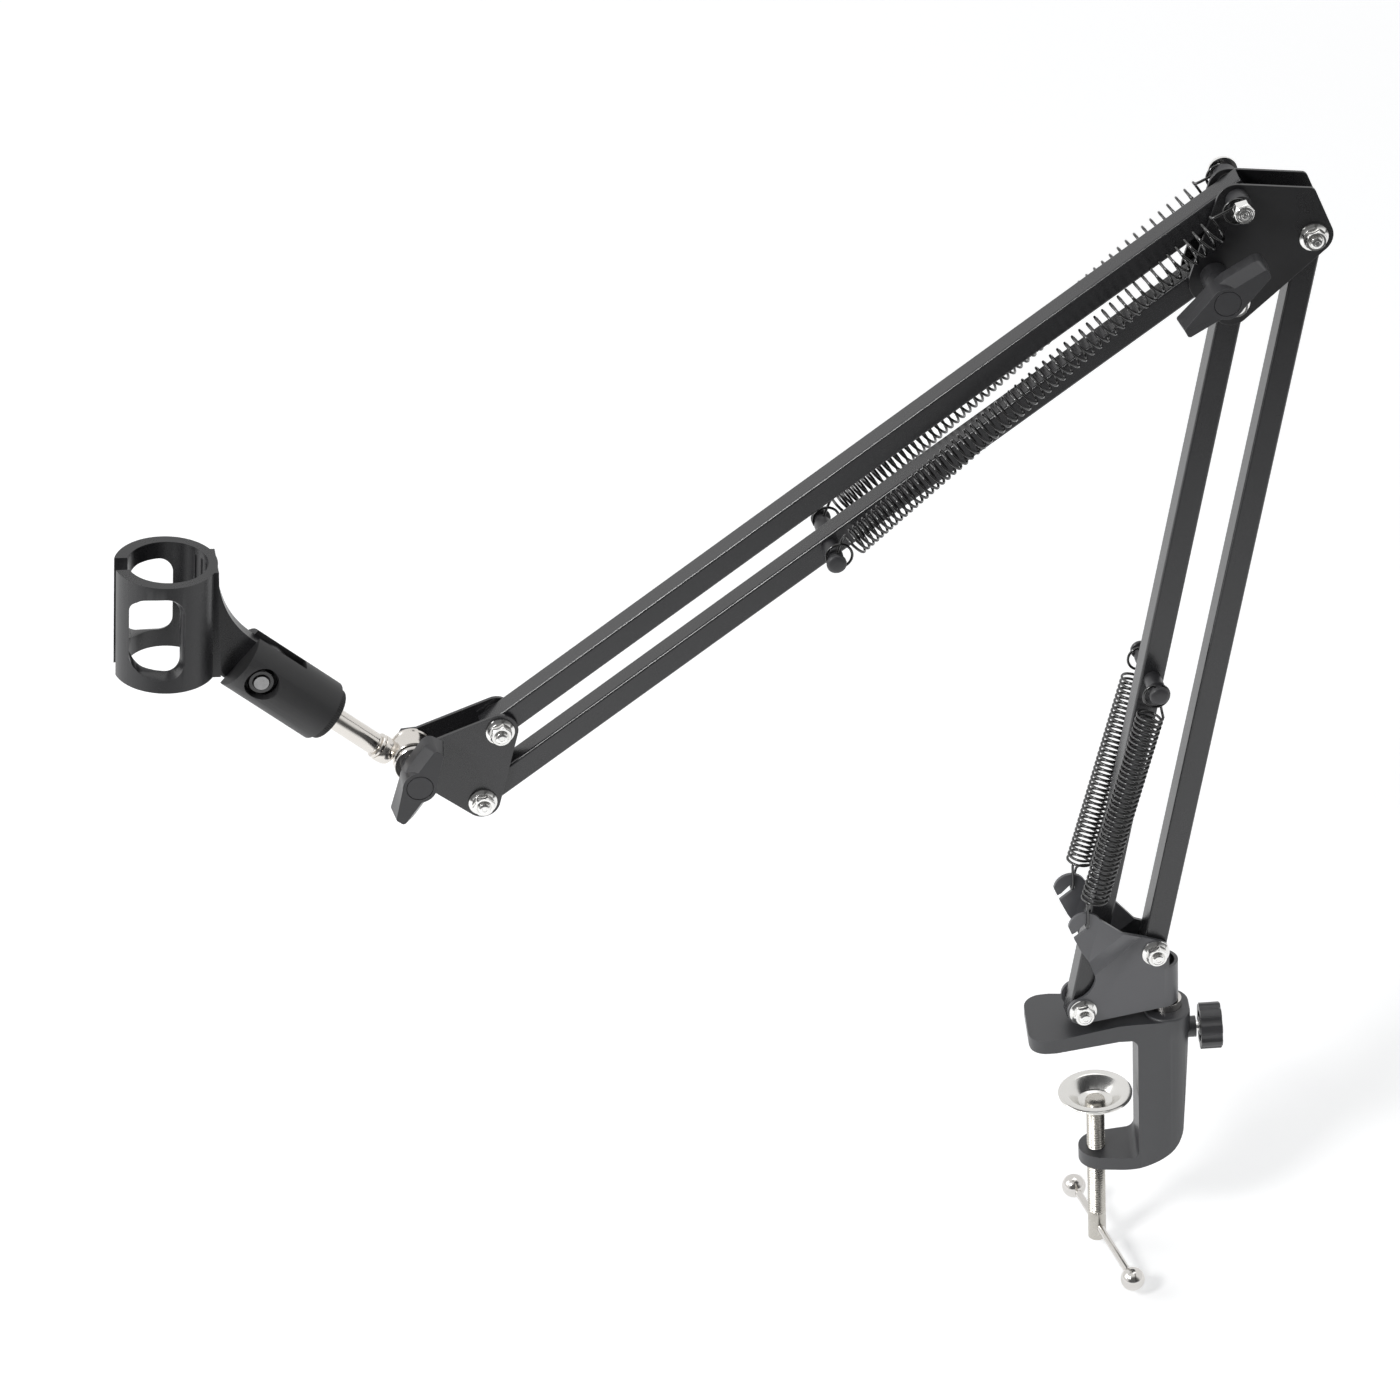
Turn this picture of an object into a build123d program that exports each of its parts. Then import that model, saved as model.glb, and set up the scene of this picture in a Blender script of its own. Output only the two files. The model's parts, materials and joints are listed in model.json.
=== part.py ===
from build123d import *
import os
from math import atan2, cos, degrees, hypot, radians, sin

# A spring-balanced desk arm for a studio microphone: a desk clamp, two parallel-linkage arms of
# square tube with tension springs, folded steel brackets, wing knobs, and a swivelling clip.
# Millimetres. The origin is on the swivel axis at the level of the desk top that the clamp grips.
# +Z is up, +X runs along the arm plane away from the microphone, and -Y is the knob side.

# ---------------------------------------------------------------- driving dimensions
# Fits and fasteners
running_gap = 0.08        # radial clearance of a shaft that turns in a hole
play = 0.05               # flat gap between faces that slide on each other
bolt_radius = 2.5         # M5 linkage bolts
knob_bolt_radius = 3.0    # M6 bolts under the wing knobs and through the microphone clip
flange_radius = 5.9       # flanged nut
flange_thickness = 1.4
nut_flats = 8.0           # across flats of the M5 nut
nut_height = 4.6
bolt_tip = 6.2            # bolt end, measured from the plate that its nut sits on
head_height = 3.6

# Square tube and sheet
tube_size = 10.0
tube_wall = 1.0
tube_overhang = 5.5       # tube past its pivot
sheet = 1.5
side_washer = 1.0         # nylon washer between tube and plate
side_washer_radius = 5.0

# Pivots in the arm plane, as X and Z
base_front = (-37.2, 16.7)
link_base = (31.2, 25.2)      # front to rear pivot of the lower arm
lower_length = 335.4
lower_angle = 78.79           # degrees from +X
spring_bolt_place = (0.6, 45.5)   # from the lower arm's front pivot
link_tip = (-9.1, -32.2)      # top to bottom pivot of the upper arm
upper_length = 361.4
upper_angle = 33.7
tip_knob_place = (-35.2, -10.0)   # from the upper arm's top pivot

# Desk clamp. Its own directions are turned about Z from the arm plane.
clamp_turn = -6.5
jaw_opening = 61.3
jaw_reach = 59.1              # swivel axis to the tip of the top jaw
jaw_half_width = 17.2
jaw_tip_straight = 11.1       # full-width part of the top jaw
jaw_flare_start = 8.0         # in front of the column
column_inner = 13.2
column_back = 8.9
column_half_width = 12.0
column_back_low = 6.1         # back of the column where the lower curve starts
top_jaw_root = 8.3
top_jaw_tip = 6.0
lower_jaw_thickness = 6.2
screw_offset = 30.5           # swivel axis to clamp screw axis
lower_jaw_end_radius = 9.7
lower_curve = (27.5, 20.3)    # half axes of the elliptic outer corner
boss_reach = 9.6              # swivel boss, swivel axis to its back
boss_rise = 1.2
jaw_underside_round = 1.6
jaw_corner = 7.5
column_corner = 9.0
throat_corner = 3.5
stud_radius = 6.35
stud_depth = 18.0
lock_drop = 2.8               # lock screw axis below the desk level
lock_boss_radius = 4.5
lock_boss_end = 12.3
lock_screw_radius = 2.5
lock_knob_radius = 9.8
lock_knob_start = 13.9
lock_knob_end = 23.0
screw_radius = 3.9            # M8 clamp screw
pad_top = -33.1               # upper rim of the pad at rest
pad_radius = 15.75
pad_flange_inner = 12.1
pad_floor_radius = 7.2
pad_dish = 4.9
pad_sheet = 1.5
pad_hole = 3.4
screw_bottom = -110.2
bar_level = -102.9
bar_radius = 1.6
bar_hole_radius = 1.68
bar_angle = 108.0             # direction of the bar from the clamp's own +X
bar_tilt = 6.0
bar_back = 25.0
bar_front = 37.8
ball_radius = 5.25

# Base bracket
stud_top = 13.0
rivet_radius = 2.4
bracket_back = 5.0            # outermost X of the folded back
ear_offset = 7.9              # how far the spring ears stand outside the side plates
ear_run = 12.3
ear_angle = 38.0              # direction of both creases from +X
ear_crease = (-21.6, 42.6)    # a point on the inner crease
hook_eye = (-36.6, 65.0)      # where the spring wire sits

# Springs
spring_outer = 5.8
wire = 1.1
lower_pin_along = 161.4       # base pivot to spring pin, along the tube
upper_pin_along = 175.3       # tip pivot to spring pin, along the tube
spring_pin_radius = 2.5
pin_half_length = 19.5
pin_head_radius = 4.0
pin_head_height = 2.2
spring_bolt_reach = 21.2
spring_bolt_shank = 2.5
spacer_radius = 4.6
spring_head = 4.6
spring_head_turned = 3.8      # radius of the turned face on the spring bolt's head
spring_head_rise = 0.5
hook_gap = 0.15               # between a spring's legs and the ear they straddle
lower_spring_gaps = (9.0, 20.0)   # pin to coil and coil to hook
upper_spring_gaps = (10.0, 11.0)

# Wing knobs
knob_boss_radius = 6.9
knob_hub_radius = 5.6
knob_wing_depth = 10.0
knob_height = 16.6
knob_roof = 4.0               # closed end over the bolt
knob_bevel = (2.5, 5.0)       # sideways and down
knob_draft = 0.9              # how far the wings have spread at their back
knob_tip_round = 1.2
knob_corner_growth = 2.4      # added radius of the leading corner behind the bevel
knob_cap = (5.15, 5.45, 0.4)  # groove round the cap: both radii and depth
wing_root = (4.4, 4.0)        # face of a wing, along it and off to its left
wing_heel = (1.5, -6.6)
wing_tip_left = 2.5
wing_tip_right = 1.6
wing_tip_skew = 0.7
elbow_knob_reach = 20.2
elbow_knob_angle = 33.3
elbow_bush_length = 7.2
tip_knob_reach = 18.0
tip_knob_angle = 58.0
knob_bolt_flats = 10.0
knob_bolt_head = 4.2
tip_washer_thickness = 2.0
tip_washer_radius = 8.2

# Swivel lug, post and microphone clip
lug_radius = 8.4
post_angle = 136.0            # direction of the post from +X
post_shift = 5.3              # post axis off the lug's pivot
post_start = 13.0
post_radius = 4.55
neck_radius = 5.6
spigot_length = 7.0
spigot_radius = 3.0
ring_start = 38.9
ring_radius = 11.05
ring_thickness = 3.6
insert_radius = 7.94
insert_end = 58.0
socket_radius = 12.85
socket_end = 85.0
clip_bolt_along = 75.0
clip_slot = 6.4
clip_slot_start = 61.0
nut_recess_radius = 7.0
nut_recess_floor = 6.6        # arm plane to the floor of each recess
clip_tilt = 5.8               # clip axis from +Z towards +X
clip_outer = 20.3
clip_inner = 15.9
clip_offset = 0.7             # outside of the barrel, off the bore away from the neck
clip_height = 47.6
clip_split = 9.2
clip_bolt_side = 36.5         # clip axis to its bolt
clip_bolt_drop = 26.5         # clip middle down to its bolt
window_centre = (-6.2, 0.2)
window_width = 19.6
window_height = 32.5
window_corner = 6.0
window_taper = 27.0           # degrees, opening outwards
web_thickness = 6.0
neck_half_width = 9.3
neck_top = 19.2
neck_bottom = 20.6

# ---------------------------------------------------------------- worked-out places
plate_inner = tube_size / 2 + side_washer
plate_outer = plate_inner + sheet
spring_side = plate_inner + ear_offset + sheet / 2   # arm plane to the middle of an ear
knob_clear = knob_bolt_radius + running_gap


def step(start, angle, distance, side=0.0):
    """The point at a distance along a direction in the arm plane, and off to its left."""
    c = cos(radians(angle))
    s = sin(radians(angle))
    return (start[0] + distance * c - side * s, start[1] + distance * s + side * c)


def shifted(point, move):
    return (point[0] + move[0], point[1] + move[1])


base_rear = shifted(base_front, link_base)
elbow_front = step(base_front, lower_angle, lower_length)
elbow_rear = step(base_rear, lower_angle, lower_length)
elbow_spring_bolt = shifted(elbow_front, spring_bolt_place)
elbow_knob_pivot = shifted(elbow_spring_bolt, link_tip)
tip_top = step(elbow_spring_bolt, upper_angle + 180, upper_length)
tip_knob_pivot = shifted(tip_top, tip_knob_place)
tip_bottom = step(elbow_knob_pivot, upper_angle + 180, upper_length)
lower_pin = step(base_front, lower_angle, lower_pin_along)
upper_pin = step(tip_bottom, upper_angle, upper_pin_along)
post_foot = step(tip_knob_pivot, post_angle, 0, post_shift)
clip_bolt_place = step(post_foot, post_angle, clip_bolt_along)
clip_centre = shifted(
    clip_bolt_place,
    (
        -clip_bolt_side * cos(radians(clip_tilt)) + clip_bolt_drop * sin(radians(clip_tilt)),
        clip_bolt_side * sin(radians(clip_tilt)) + clip_bolt_drop * cos(radians(clip_tilt)),
    ),
)
clamp_x = (cos(radians(clamp_turn)), sin(radians(clamp_turn)), 0)
clamp_y = (-sin(radians(clamp_turn)), cos(radians(clamp_turn)), 0)


def across(depth):
    """A plane parallel to the arm plane at Y = depth, drawn as X and Z, facing -Y."""
    return Plane(origin=(0, depth, 0), x_dir=(1, 0, 0), z_dir=(0, -1, 0))


def clamp_side():
    """The clamp's middle plane, drawn as its own X and Z, facing its -Y."""
    return Plane(origin=(0, 0, 0), x_dir=clamp_x, z_dir=tuple(-value for value in clamp_y))


def clamp_level(height):
    return Plane(origin=(0, 0, height), x_dir=clamp_x, z_dir=(0, 0, 1))


def clamp_end(distance):
    """A plane square to the clamp's own X at a distance from the swivel axis."""
    return Plane(origin=tuple(distance * value for value in clamp_x), x_dir=clamp_y, z_dir=clamp_x)


def along_post(distance):
    """A plane square to the post at a distance from its foot, X to the left of the post."""
    x, z = step(post_foot, post_angle, distance)
    c = cos(radians(post_angle))
    s = sin(radians(post_angle))
    return Plane(origin=(x, 0, z), x_dir=(-s, 0, c), z_dir=(c, 0, s))


clip_x = (cos(radians(clip_tilt)), 0, -sin(radians(clip_tilt)))
clip_z = (sin(radians(clip_tilt)), 0, cos(radians(clip_tilt)))


def clip_level(height):
    """A plane square to the clip's axis, at a height above its middle."""
    x, z = clip_centre
    origin = (x + height * clip_z[0], 0, z + height * clip_z[2])
    return Plane(origin=origin, x_dir=clip_x, z_dir=clip_z)


def clip_side():
    """The clip's middle plane, drawn as its own X and height, facing -Y."""
    return Plane(origin=(clip_centre[0], 0, clip_centre[1]), x_dir=clip_x, z_dir=(0, -1, 0))


def rod(place, y_low, y_high, radius, bore=0.0, mode=Mode.ADD):
    """A round rod or tube across the arm plane."""
    with BuildSketch(across(y_high)) as section:
        with Locations(place):
            Circle(radius)
            if bore > 0:
                Circle(bore, mode=Mode.SUBTRACT)
    extrude(section.sketch, amount=y_high - y_low, mode=mode)


def hexagon(place, y_low, y_high, flats, bore=0.0, turn=0.0):
    """A hexagon nut or bolt head across the arm plane."""
    with BuildSketch(across(y_high)) as section:
        with Locations(place):
            RegularPolygon(flats / 2, 6, major_radius=False, rotation=turn)
            if bore > 0:
                Circle(bore, mode=Mode.SUBTRACT)
    extrude(section.sketch, amount=y_high - y_low)


def flange_nut(place):
    """A flanged nut on the front plate."""
    flange_face = -plate_outer - flange_thickness
    rod(place, flange_face, -plate_outer, flange_radius, bolt_radius)
    hexagon(place, -plate_outer - nut_height, flange_face, nut_flats, bolt_radius, turn=12)


def through_bolt(place):
    """A bolt with its head behind the back plate and its end past the front nut."""
    rod(place, -plate_outer - bolt_tip, plate_outer, bolt_radius)
    hexagon(place, plate_outer, plate_outer + head_height, nut_flats)


def washer_pair(place):
    """A nylon washer on each side of a tube."""
    low = tube_size / 2 + play
    high = plate_inner - play
    rod(place, low, high, side_washer_radius, bolt_radius + running_gap)
    rod(place, -high, -low, side_washer_radius, bolt_radius + running_gap)


def square_tube(start, angle, length):
    """A square tube along the arm plane with a pivot hole near each end."""
    x, z = step(start, angle, -tube_overhang)
    c = cos(radians(angle))
    s = sin(radians(angle))
    with BuildSketch(Plane(origin=(x, 0, z), x_dir=(0, 1, 0), z_dir=(c, 0, s))) as section:
        RectangleRounded(tube_size, tube_size, tube_wall)
        inner = tube_size - 2 * tube_wall
        RectangleRounded(inner, inner, tube_wall / 2, mode=Mode.SUBTRACT)
    extrude(section.sketch, amount=length + 2 * tube_overhang)
    for place in (start, step(start, angle, length)):
        rod(place, -tube_size, tube_size, bolt_radius + running_gap, mode=Mode.SUBTRACT)


def spring_pin(place):
    """A headed pin through a tube that carries a spring on each side."""
    rod(place, -pin_half_length, pin_half_length, spring_pin_radius)
    for end in (-pin_half_length, pin_half_length - pin_head_height):
        rod(place, end, end + pin_head_height, pin_head_radius)


def spring_coil(start, end, side, gaps):
    """A tension spring's coil as a closed sleeve; returns its direction and its two ends."""
    start_gap, end_gap = gaps
    run = (end[0] - start[0], end[1] - start[1])
    length = hypot(*run)
    angle = degrees(atan2(run[1], run[0]))
    coil_start = step(start, angle, start_gap)
    direction = (run[0] / length, 0, run[1] / length)
    plane = Plane(origin=(coil_start[0], side, coil_start[1]), x_dir=(0, 1, 0), z_dir=direction)
    coil_length = length - start_gap - end_gap
    with BuildSketch(plane) as sleeve:
        Circle(spring_outer)
        Circle(spring_outer - wire, mode=Mode.SUBTRACT)
    extrude(sleeve.sketch, amount=coil_length)
    for offset in (0, coil_length - wire):
        with BuildSketch(plane.offset(offset)) as cap:
            Circle(spring_outer - wire / 2)
        extrude(cap.sketch, amount=wire)
    return direction, coil_start, step(start, angle, length - end_gap)


def spring_leg(start, side, direction, length):
    """A straight piece of the spring's wire."""
    with BuildSketch(Plane(origin=(start[0], side, start[1]), z_dir=direction)) as leg_end:
        Circle(wire / 2)
    extrude(leg_end.sketch, amount=length)


def spring_loop(place, side, pin_radius, coil_end, direction, gap):
    """A loop as large as the coil, hanging on a pin, and the leg from it to the coil."""
    inner = spring_outer - wire
    hang = inner - pin_radius - running_gap
    centre = shifted(place, (-hang * direction[0], -hang * direction[2]))
    rod(centre, side - wire / 2, side + wire / 2, spring_outer, inner)
    spring_leg(coil_end, side, direction, gap - hang - inner - wire / 2)


def lower_spring(side):
    """Looped round the arm's pin, and hooked in the ear with a leg on each face of it."""
    direction, pin_end, hook_end = spring_coil(lower_pin, hook_eye, side, lower_spring_gaps)
    back = tuple(-value for value in direction)
    pin_gap, hook_run = lower_spring_gaps
    spring_loop(lower_pin, side, spring_pin_radius, pin_end, back, pin_gap)
    straddle = sheet / 2 + hook_gap + wire / 2
    for leg_side in (side - straddle, side + straddle):
        spring_leg(hook_end, leg_side, direction, hook_run)
    rod(hook_eye, side - straddle - wire / 2, side + straddle + wire / 2, wire / 2)


def upper_spring(side):
    """Looped round the arm's pin at one end and round the spring bolt at the other."""
    direction, pin_end, bolt_end = spring_coil(upper_pin, elbow_spring_bolt, side, upper_spring_gaps)
    back = tuple(-value for value in direction)
    pin_gap, bolt_gap = upper_spring_gaps
    spring_loop(upper_pin, side, spring_pin_radius, pin_end, back, pin_gap)
    spring_loop(elbow_spring_bolt, side, spring_bolt_shank, bolt_end, direction, bolt_gap)


# ---------------------------------------------------------------- desk clamp
column_foot = -jaw_opening - lower_jaw_thickness
with BuildPart() as jaw_plans:
    # The top jaw, and below it the column and lower jaw, as seen from above.
    with BuildSketch(clamp_level(0)):
        with BuildLine():
            Polyline(
                (column_back, column_half_width),
                (-column_inner - jaw_flare_start, column_half_width),
                (jaw_tip_straight - jaw_reach, jaw_half_width),
                (-jaw_reach, jaw_half_width),
                (-jaw_reach, -jaw_half_width),
                (jaw_tip_straight - jaw_reach, -jaw_half_width),
                (-column_inner - jaw_flare_start, -column_half_width),
                (column_back, -column_half_width),
                close=True,
            )
        make_face()
        fillet(vertices().group_by(Axis.X)[0], jaw_corner)
        fillet(vertices().group_by(Axis.X)[-1], column_corner)
    extrude(amount=top_jaw_root)
    with BuildSketch(clamp_level(column_foot)):
        with BuildLine():
            Polyline(
                (column_back, column_half_width),
                (-column_inner, column_half_width),
                (-screw_offset, lower_jaw_end_radius),
                (-screw_offset, -lower_jaw_end_radius),
                (-column_inner, -column_half_width),
                (column_back, -column_half_width),
                close=True,
            )
        make_face()
        fillet(vertices().group_by(Axis.X)[-1], column_corner)
        with Locations((-screw_offset + 2.2, 0)):
            Circle(lower_jaw_end_radius)
    extrude(amount=-column_foot)

with BuildPart() as clamp_frame:
    # One casting: top jaw, column and lower jaw.
    curve_x, curve_z = lower_curve
    with BuildSketch(clamp_side()):
        with BuildLine():
            Polyline(
                (column_back_low - curve_x, column_foot),
                (-jaw_reach, column_foot),
                (-jaw_reach, top_jaw_tip),
                (-column_inner, top_jaw_root),
                (column_back, top_jaw_root),
                (column_back, 0),
                (column_back_low, column_foot + curve_z),
            )
            EllipticalCenterArc(
                (column_back_low - curve_x, column_foot + curve_z),
                curve_x,
                curve_z,
                start_angle=270,
                arc_size=90,
            )
        make_face()
        with Locations((-column_inner - jaw_reach / 2, -jaw_opening / 2)):
            RectangleRounded(jaw_reach, jaw_opening, throat_corner, mode=Mode.SUBTRACT)
        fillet(vertices().sort_by_distance((-jaw_reach, 0))[0], jaw_underside_round)
    extrude(amount=jaw_half_width + 1, both=True)
    add(jaw_plans.part, mode=Mode.INTERSECT)
    with BuildSketch(clamp_level(top_jaw_root - column_back)):
        RectangleRounded(2 * boss_reach, 2 * column_half_width, column_corner)
    extrude(amount=boss_rise + column_back)
    fillet(clamp_frame.faces().sort_by(Axis.Z)[-1].edges(), boss_rise * 0.8)
    with BuildSketch(clamp_end(stud_radius)):
        with Locations((0, -lock_drop)):
            Circle(lock_boss_radius)
    extrude(amount=lock_boss_end - stud_radius)
    with BuildSketch(clamp_end(0)):
        with Locations((0, -lock_drop)):
            Circle(lock_screw_radius + running_gap)
    extrude(amount=lock_boss_end + 1, mode=Mode.SUBTRACT)
    with BuildSketch(clamp_level(-stud_depth)):
        Circle(stud_radius + running_gap)
    extrude(amount=stud_depth + top_jaw_root + boss_rise, mode=Mode.SUBTRACT)
    with BuildSketch(clamp_level(column_foot)):
        with Locations((-screw_offset, 0)):
            Circle(screw_radius + running_gap)
    extrude(amount=lower_jaw_thickness, mode=Mode.SUBTRACT)
clamp_frame.part.label = "clamp_frame"

with BuildPart() as lock_screw:
    # Bears on the swivel stud and passes out through the boss.
    with BuildSketch(clamp_end(stud_radius + play)):
        with Locations((0, -lock_drop)):
            Circle(lock_screw_radius)
    extrude(amount=lock_knob_end - 3 - stud_radius)
lock_screw.part.label = "lock_screw"

with BuildPart() as lock_knob:
    # A lobed plastic knob moulded on the screw, hollow on the clamp side.
    with BuildSketch(clamp_end(lock_knob_start)):
        with Locations((0, -lock_drop)):
            Circle(lock_knob_radius)
            with PolarLocations(lock_knob_radius + 2.0, 8):
                Circle(3.0, mode=Mode.SUBTRACT)
    extrude(amount=lock_knob_end - lock_knob_start)
    fillet(lock_knob.faces().sort_by(Axis(origin=(0, 0, 0), direction=clamp_x))[-1].edges(), 0.8)
    with BuildSketch(clamp_end(lock_knob_start)):
        with Locations((0, -lock_drop)):
            Circle(lock_knob_radius - 3.2)
            Circle(lock_screw_radius + 1.6, mode=Mode.SUBTRACT)
    extrude(amount=lock_knob_end - lock_knob_start - 3, mode=Mode.SUBTRACT)
    with BuildSketch(clamp_end(lock_knob_start)):
        with Locations((0, -lock_drop)):
            Circle(lock_screw_radius)
    extrude(amount=lock_knob_end - 3 + play - lock_knob_start, mode=Mode.SUBTRACT)
lock_knob.part.label = "lock_knob"

pad_floor = pad_top - pad_dish
screw_axis = tuple(-screw_offset * value for value in clamp_x)
screw_section = Plane(origin=screw_axis, x_dir=(1, 0, 0), z_dir=(0, -1, 0))
with BuildPart() as pressure_pad:
    # A pressed steel dish, riveted on the end of the screw so that it can turn.
    with BuildSketch(screw_section):
        with BuildLine():
            Polyline(
                (pad_hole, pad_floor),
                (pad_floor_radius, pad_floor),
                (pad_flange_inner, pad_top),
                (pad_radius, pad_top),
                (pad_radius, pad_top - pad_sheet),
                (pad_flange_inner + pad_sheet / 2, pad_top - pad_sheet),
                (pad_floor_radius + pad_sheet / 2, pad_floor - pad_sheet),
                (pad_hole, pad_floor - pad_sheet),
                close=True,
            )
        make_face()
    revolve(axis=Axis(screw_axis, (0, 0, 1)))
pressure_pad.part.label = "pressure_pad"

bar_direction = (
    cos(radians(bar_angle + clamp_turn)) * cos(radians(bar_tilt)),
    sin(radians(bar_angle + clamp_turn)) * cos(radians(bar_tilt)),
    sin(radians(bar_tilt)),
)
bar_centre = (screw_axis[0], screw_axis[1], bar_level)
bar_plane = Plane(origin=bar_centre, z_dir=bar_direction)
screw_head = pad_floor - pad_sheet - play
with BuildPart() as clamp_screw:
    # M8 screw with a riveted neck through the pad and a cross hole for the bar.
    with BuildSketch(screw_section):
        with BuildLine():
            Polyline(
                (0, screw_bottom),
                (screw_radius - 0.6, screw_bottom),
                (screw_radius, screw_bottom + 0.6),
                (screw_radius, screw_head),
                (pad_hole - running_gap, screw_head),
                (pad_hole - running_gap, pad_floor + play),
                (pad_hole + 1.0, pad_floor + play),
                (pad_hole + 0.4, pad_floor + 1.6),
                (0, pad_floor + 1.8),
                close=True,
            )
        make_face()
    revolve(axis=Axis(screw_axis, (0, 0, 1)))
    with BuildSketch(bar_plane):
        Circle(bar_hole_radius)
    extrude(amount=screw_radius + 2, both=True, mode=Mode.SUBTRACT)
clamp_screw.part.label = "clamp_screw"

with BuildPart() as tommy_bar:
    # Slides through the screw until a ball stops it.
    with BuildSketch(bar_plane.offset(-bar_front)):
        Circle(bar_radius)
    extrude(amount=bar_front + bar_back)
tommy_bar.part.label = "tommy_bar"

with BuildPart() as tommy_bar_balls:
    for distance in (-bar_front, bar_back):
        with Locations(bar_plane.offset(distance)):
            Sphere(ball_radius)
    with BuildSketch(bar_plane.offset(-bar_front)):
        Circle(bar_radius)
    extrude(amount=bar_front + bar_back, mode=Mode.SUBTRACT)
tommy_bar_balls.part.label = "tommy_bar_balls"

# ---------------------------------------------------------------- swivel and base bracket
with BuildPart() as swivel_stud:
    # Turns in the clamp's bore and is riveted to the bracket's floor tab.
    with BuildSketch(Plane.XZ):
        with BuildLine():
            Polyline(
                (0, play - stud_depth),
                (stud_radius - 0.8, play - stud_depth),
                (stud_radius, play - stud_depth + 0.8),
                (stud_radius, stud_top),
                (rivet_radius, stud_top),
                (rivet_radius, stud_top + sheet),
                (rivet_radius + 0.9, stud_top + sheet),
                (rivet_radius + 0.5, stud_top + sheet + 1.6),
                (0, stud_top + sheet + 1.9),
                close=True,
            )
        make_face()
    revolve(axis=Axis.Z)
swivel_stud.part.label = "swivel_stud"

bend_radius = plate_outer
bend_centre = bracket_back - bend_radius
fx, fz = base_front
rx, rz = base_rear
ex, ez = ear_crease
hx, hz = hook_eye
with BuildPart() as bracket_outline:
    # The side view of the bracket, right through.
    with BuildSketch(across(30)):
        with BuildLine():
            Polyline(
                (fx, fz - 6.4),
                (-6.5, stud_top + 0.1),
                (bracket_back, stud_top + 0.9),
                (bracket_back, rz - 8.9),
                (rx + 5.8, rz - 8.9),
                (rx + 5.8, rz),
            )
            ThreePointArc((rx + 5.8, rz), (rx + 4.9, rz + 3.1), (rx + 2.9, rz + 5.0))
            Polyline((rx + 2.9, rz + 5.0), (ex + 9.5, ez + 8.2), (hx + 5.6, hz + 2.3))
            ThreePointArc((hx + 5.6, hz + 2.3), (hx - 1.8, hz + 6.5), (hx - 7.7, hz + 0.7))
            Polyline((hx - 7.7, hz + 0.7), (hx - 6.3, hz - 3.0), (hx - 4.6, hz - 2.2), (hx - 1.3, hz + 1.0))
            ThreePointArc((hx - 1.3, hz + 1.0), (hx + 0.8, hz + 0.9), (hx + 0.7, hz - 1.0))
            Polyline(
                (hx + 0.7, hz - 1.0),
                (hx - 5.4, hz - 5.5),
                (hx - 2.1, hz - 13.2),
                (hx + 0.4, hz - 17.5),
                (fx + 5.7, fz + 16.1),
            )
            ThreePointArc((fx + 5.7, fz + 16.1), (fx + 2.9, fz + 9.2), (fx - 3.3, fz + 5.5))
            ThreePointArc((fx - 3.3, fz + 5.5), (fx - 6.4, fz), (fx, fz - 6.4))
        make_face()
    extrude(amount=60)

ear_axis = (cos(radians(ear_angle)), 0, sin(radians(ear_angle)))
ear_out = (-ear_axis[2], 0, ear_axis[0])
ear_section = Plane(
    origin=(ex, 0, ez), x_dir=ear_out, z_dir=tuple(-value for value in ear_axis)
)
ear_slope = atan2(ear_offset, ear_run)
corner_shift = sheet * (1 - cos(ear_slope)) / sin(ear_slope)
bend_top = rz - 8.9
with BuildPart() as base_bracket:
    # One folded sheet: a U that straddles the tubes, with an offset spring ear on each side.
    with BuildSketch(ear_section):
        with BuildLine():
            Polyline(
                (-80, plate_outer),
                (0, plate_outer),
                (ear_run, plate_outer + ear_offset),
                (40, plate_outer + ear_offset),
                (40, plate_inner + ear_offset),
                (ear_run + corner_shift, plate_inner + ear_offset),
                (corner_shift, plate_inner),
                (-80, plate_inner),
                close=True,
            )
        make_face()
        mirror(about=Plane.XZ)
    extrude(amount=60, both=True)
    with BuildSketch(Plane.XY):
        with Locations((bend_centre + 20, 0)):
            Rectangle(40, 4 * bend_radius)
    extrude(amount=bend_top, mode=Mode.SUBTRACT)
    with BuildSketch(Plane.XY):
        with Locations((bend_centre, 0)):
            Circle(bend_radius)
            Circle(bend_radius - sheet, mode=Mode.SUBTRACT)
        with Locations((bend_centre - bend_radius, 0)):
            Rectangle(2 * bend_radius, 2 * bend_radius, mode=Mode.SUBTRACT)
    extrude(amount=bend_top)
    add(bracket_outline.part, mode=Mode.INTERSECT)
    with BuildSketch(Plane.XY.offset(stud_top)):
        with Locations((bend_centre, 0)):
            Circle(plate_inner)
        with Locations((bend_centre - plate_inner, 0)):
            Rectangle(2 * plate_inner, 2 * plate_inner)
        Circle(rivet_radius, mode=Mode.SUBTRACT)
    extrude(amount=sheet)
    for pivot in (base_front, base_rear):
        rod(pivot, -bend_radius, bend_radius, bolt_radius, mode=Mode.SUBTRACT)
base_bracket.part.label = "base_bracket"

with BuildPart() as base_bolts:
    for pivot in (base_front, base_rear):
        through_bolt(pivot)
base_bolts.part.label = "base_bolts"

with BuildPart() as base_nuts:
    for pivot in (base_front, base_rear):
        flange_nut(pivot)
base_nuts.part.label = "base_nuts"

with BuildPart() as base_washers:
    for pivot in (base_front, base_rear):
        washer_pair(pivot)
base_washers.part.label = "base_washers"

# ---------------------------------------------------------------- lower arm
with BuildPart() as lower_front_tube:
    square_tube(base_front, lower_angle, lower_length)
    rod(lower_pin, -tube_size, tube_size, spring_pin_radius, mode=Mode.SUBTRACT)
lower_front_tube.part.label = "lower_front_tube"

with BuildPart() as lower_rear_tube:
    square_tube(base_rear, lower_angle, lower_length)
lower_rear_tube.part.label = "lower_rear_tube"

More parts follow.
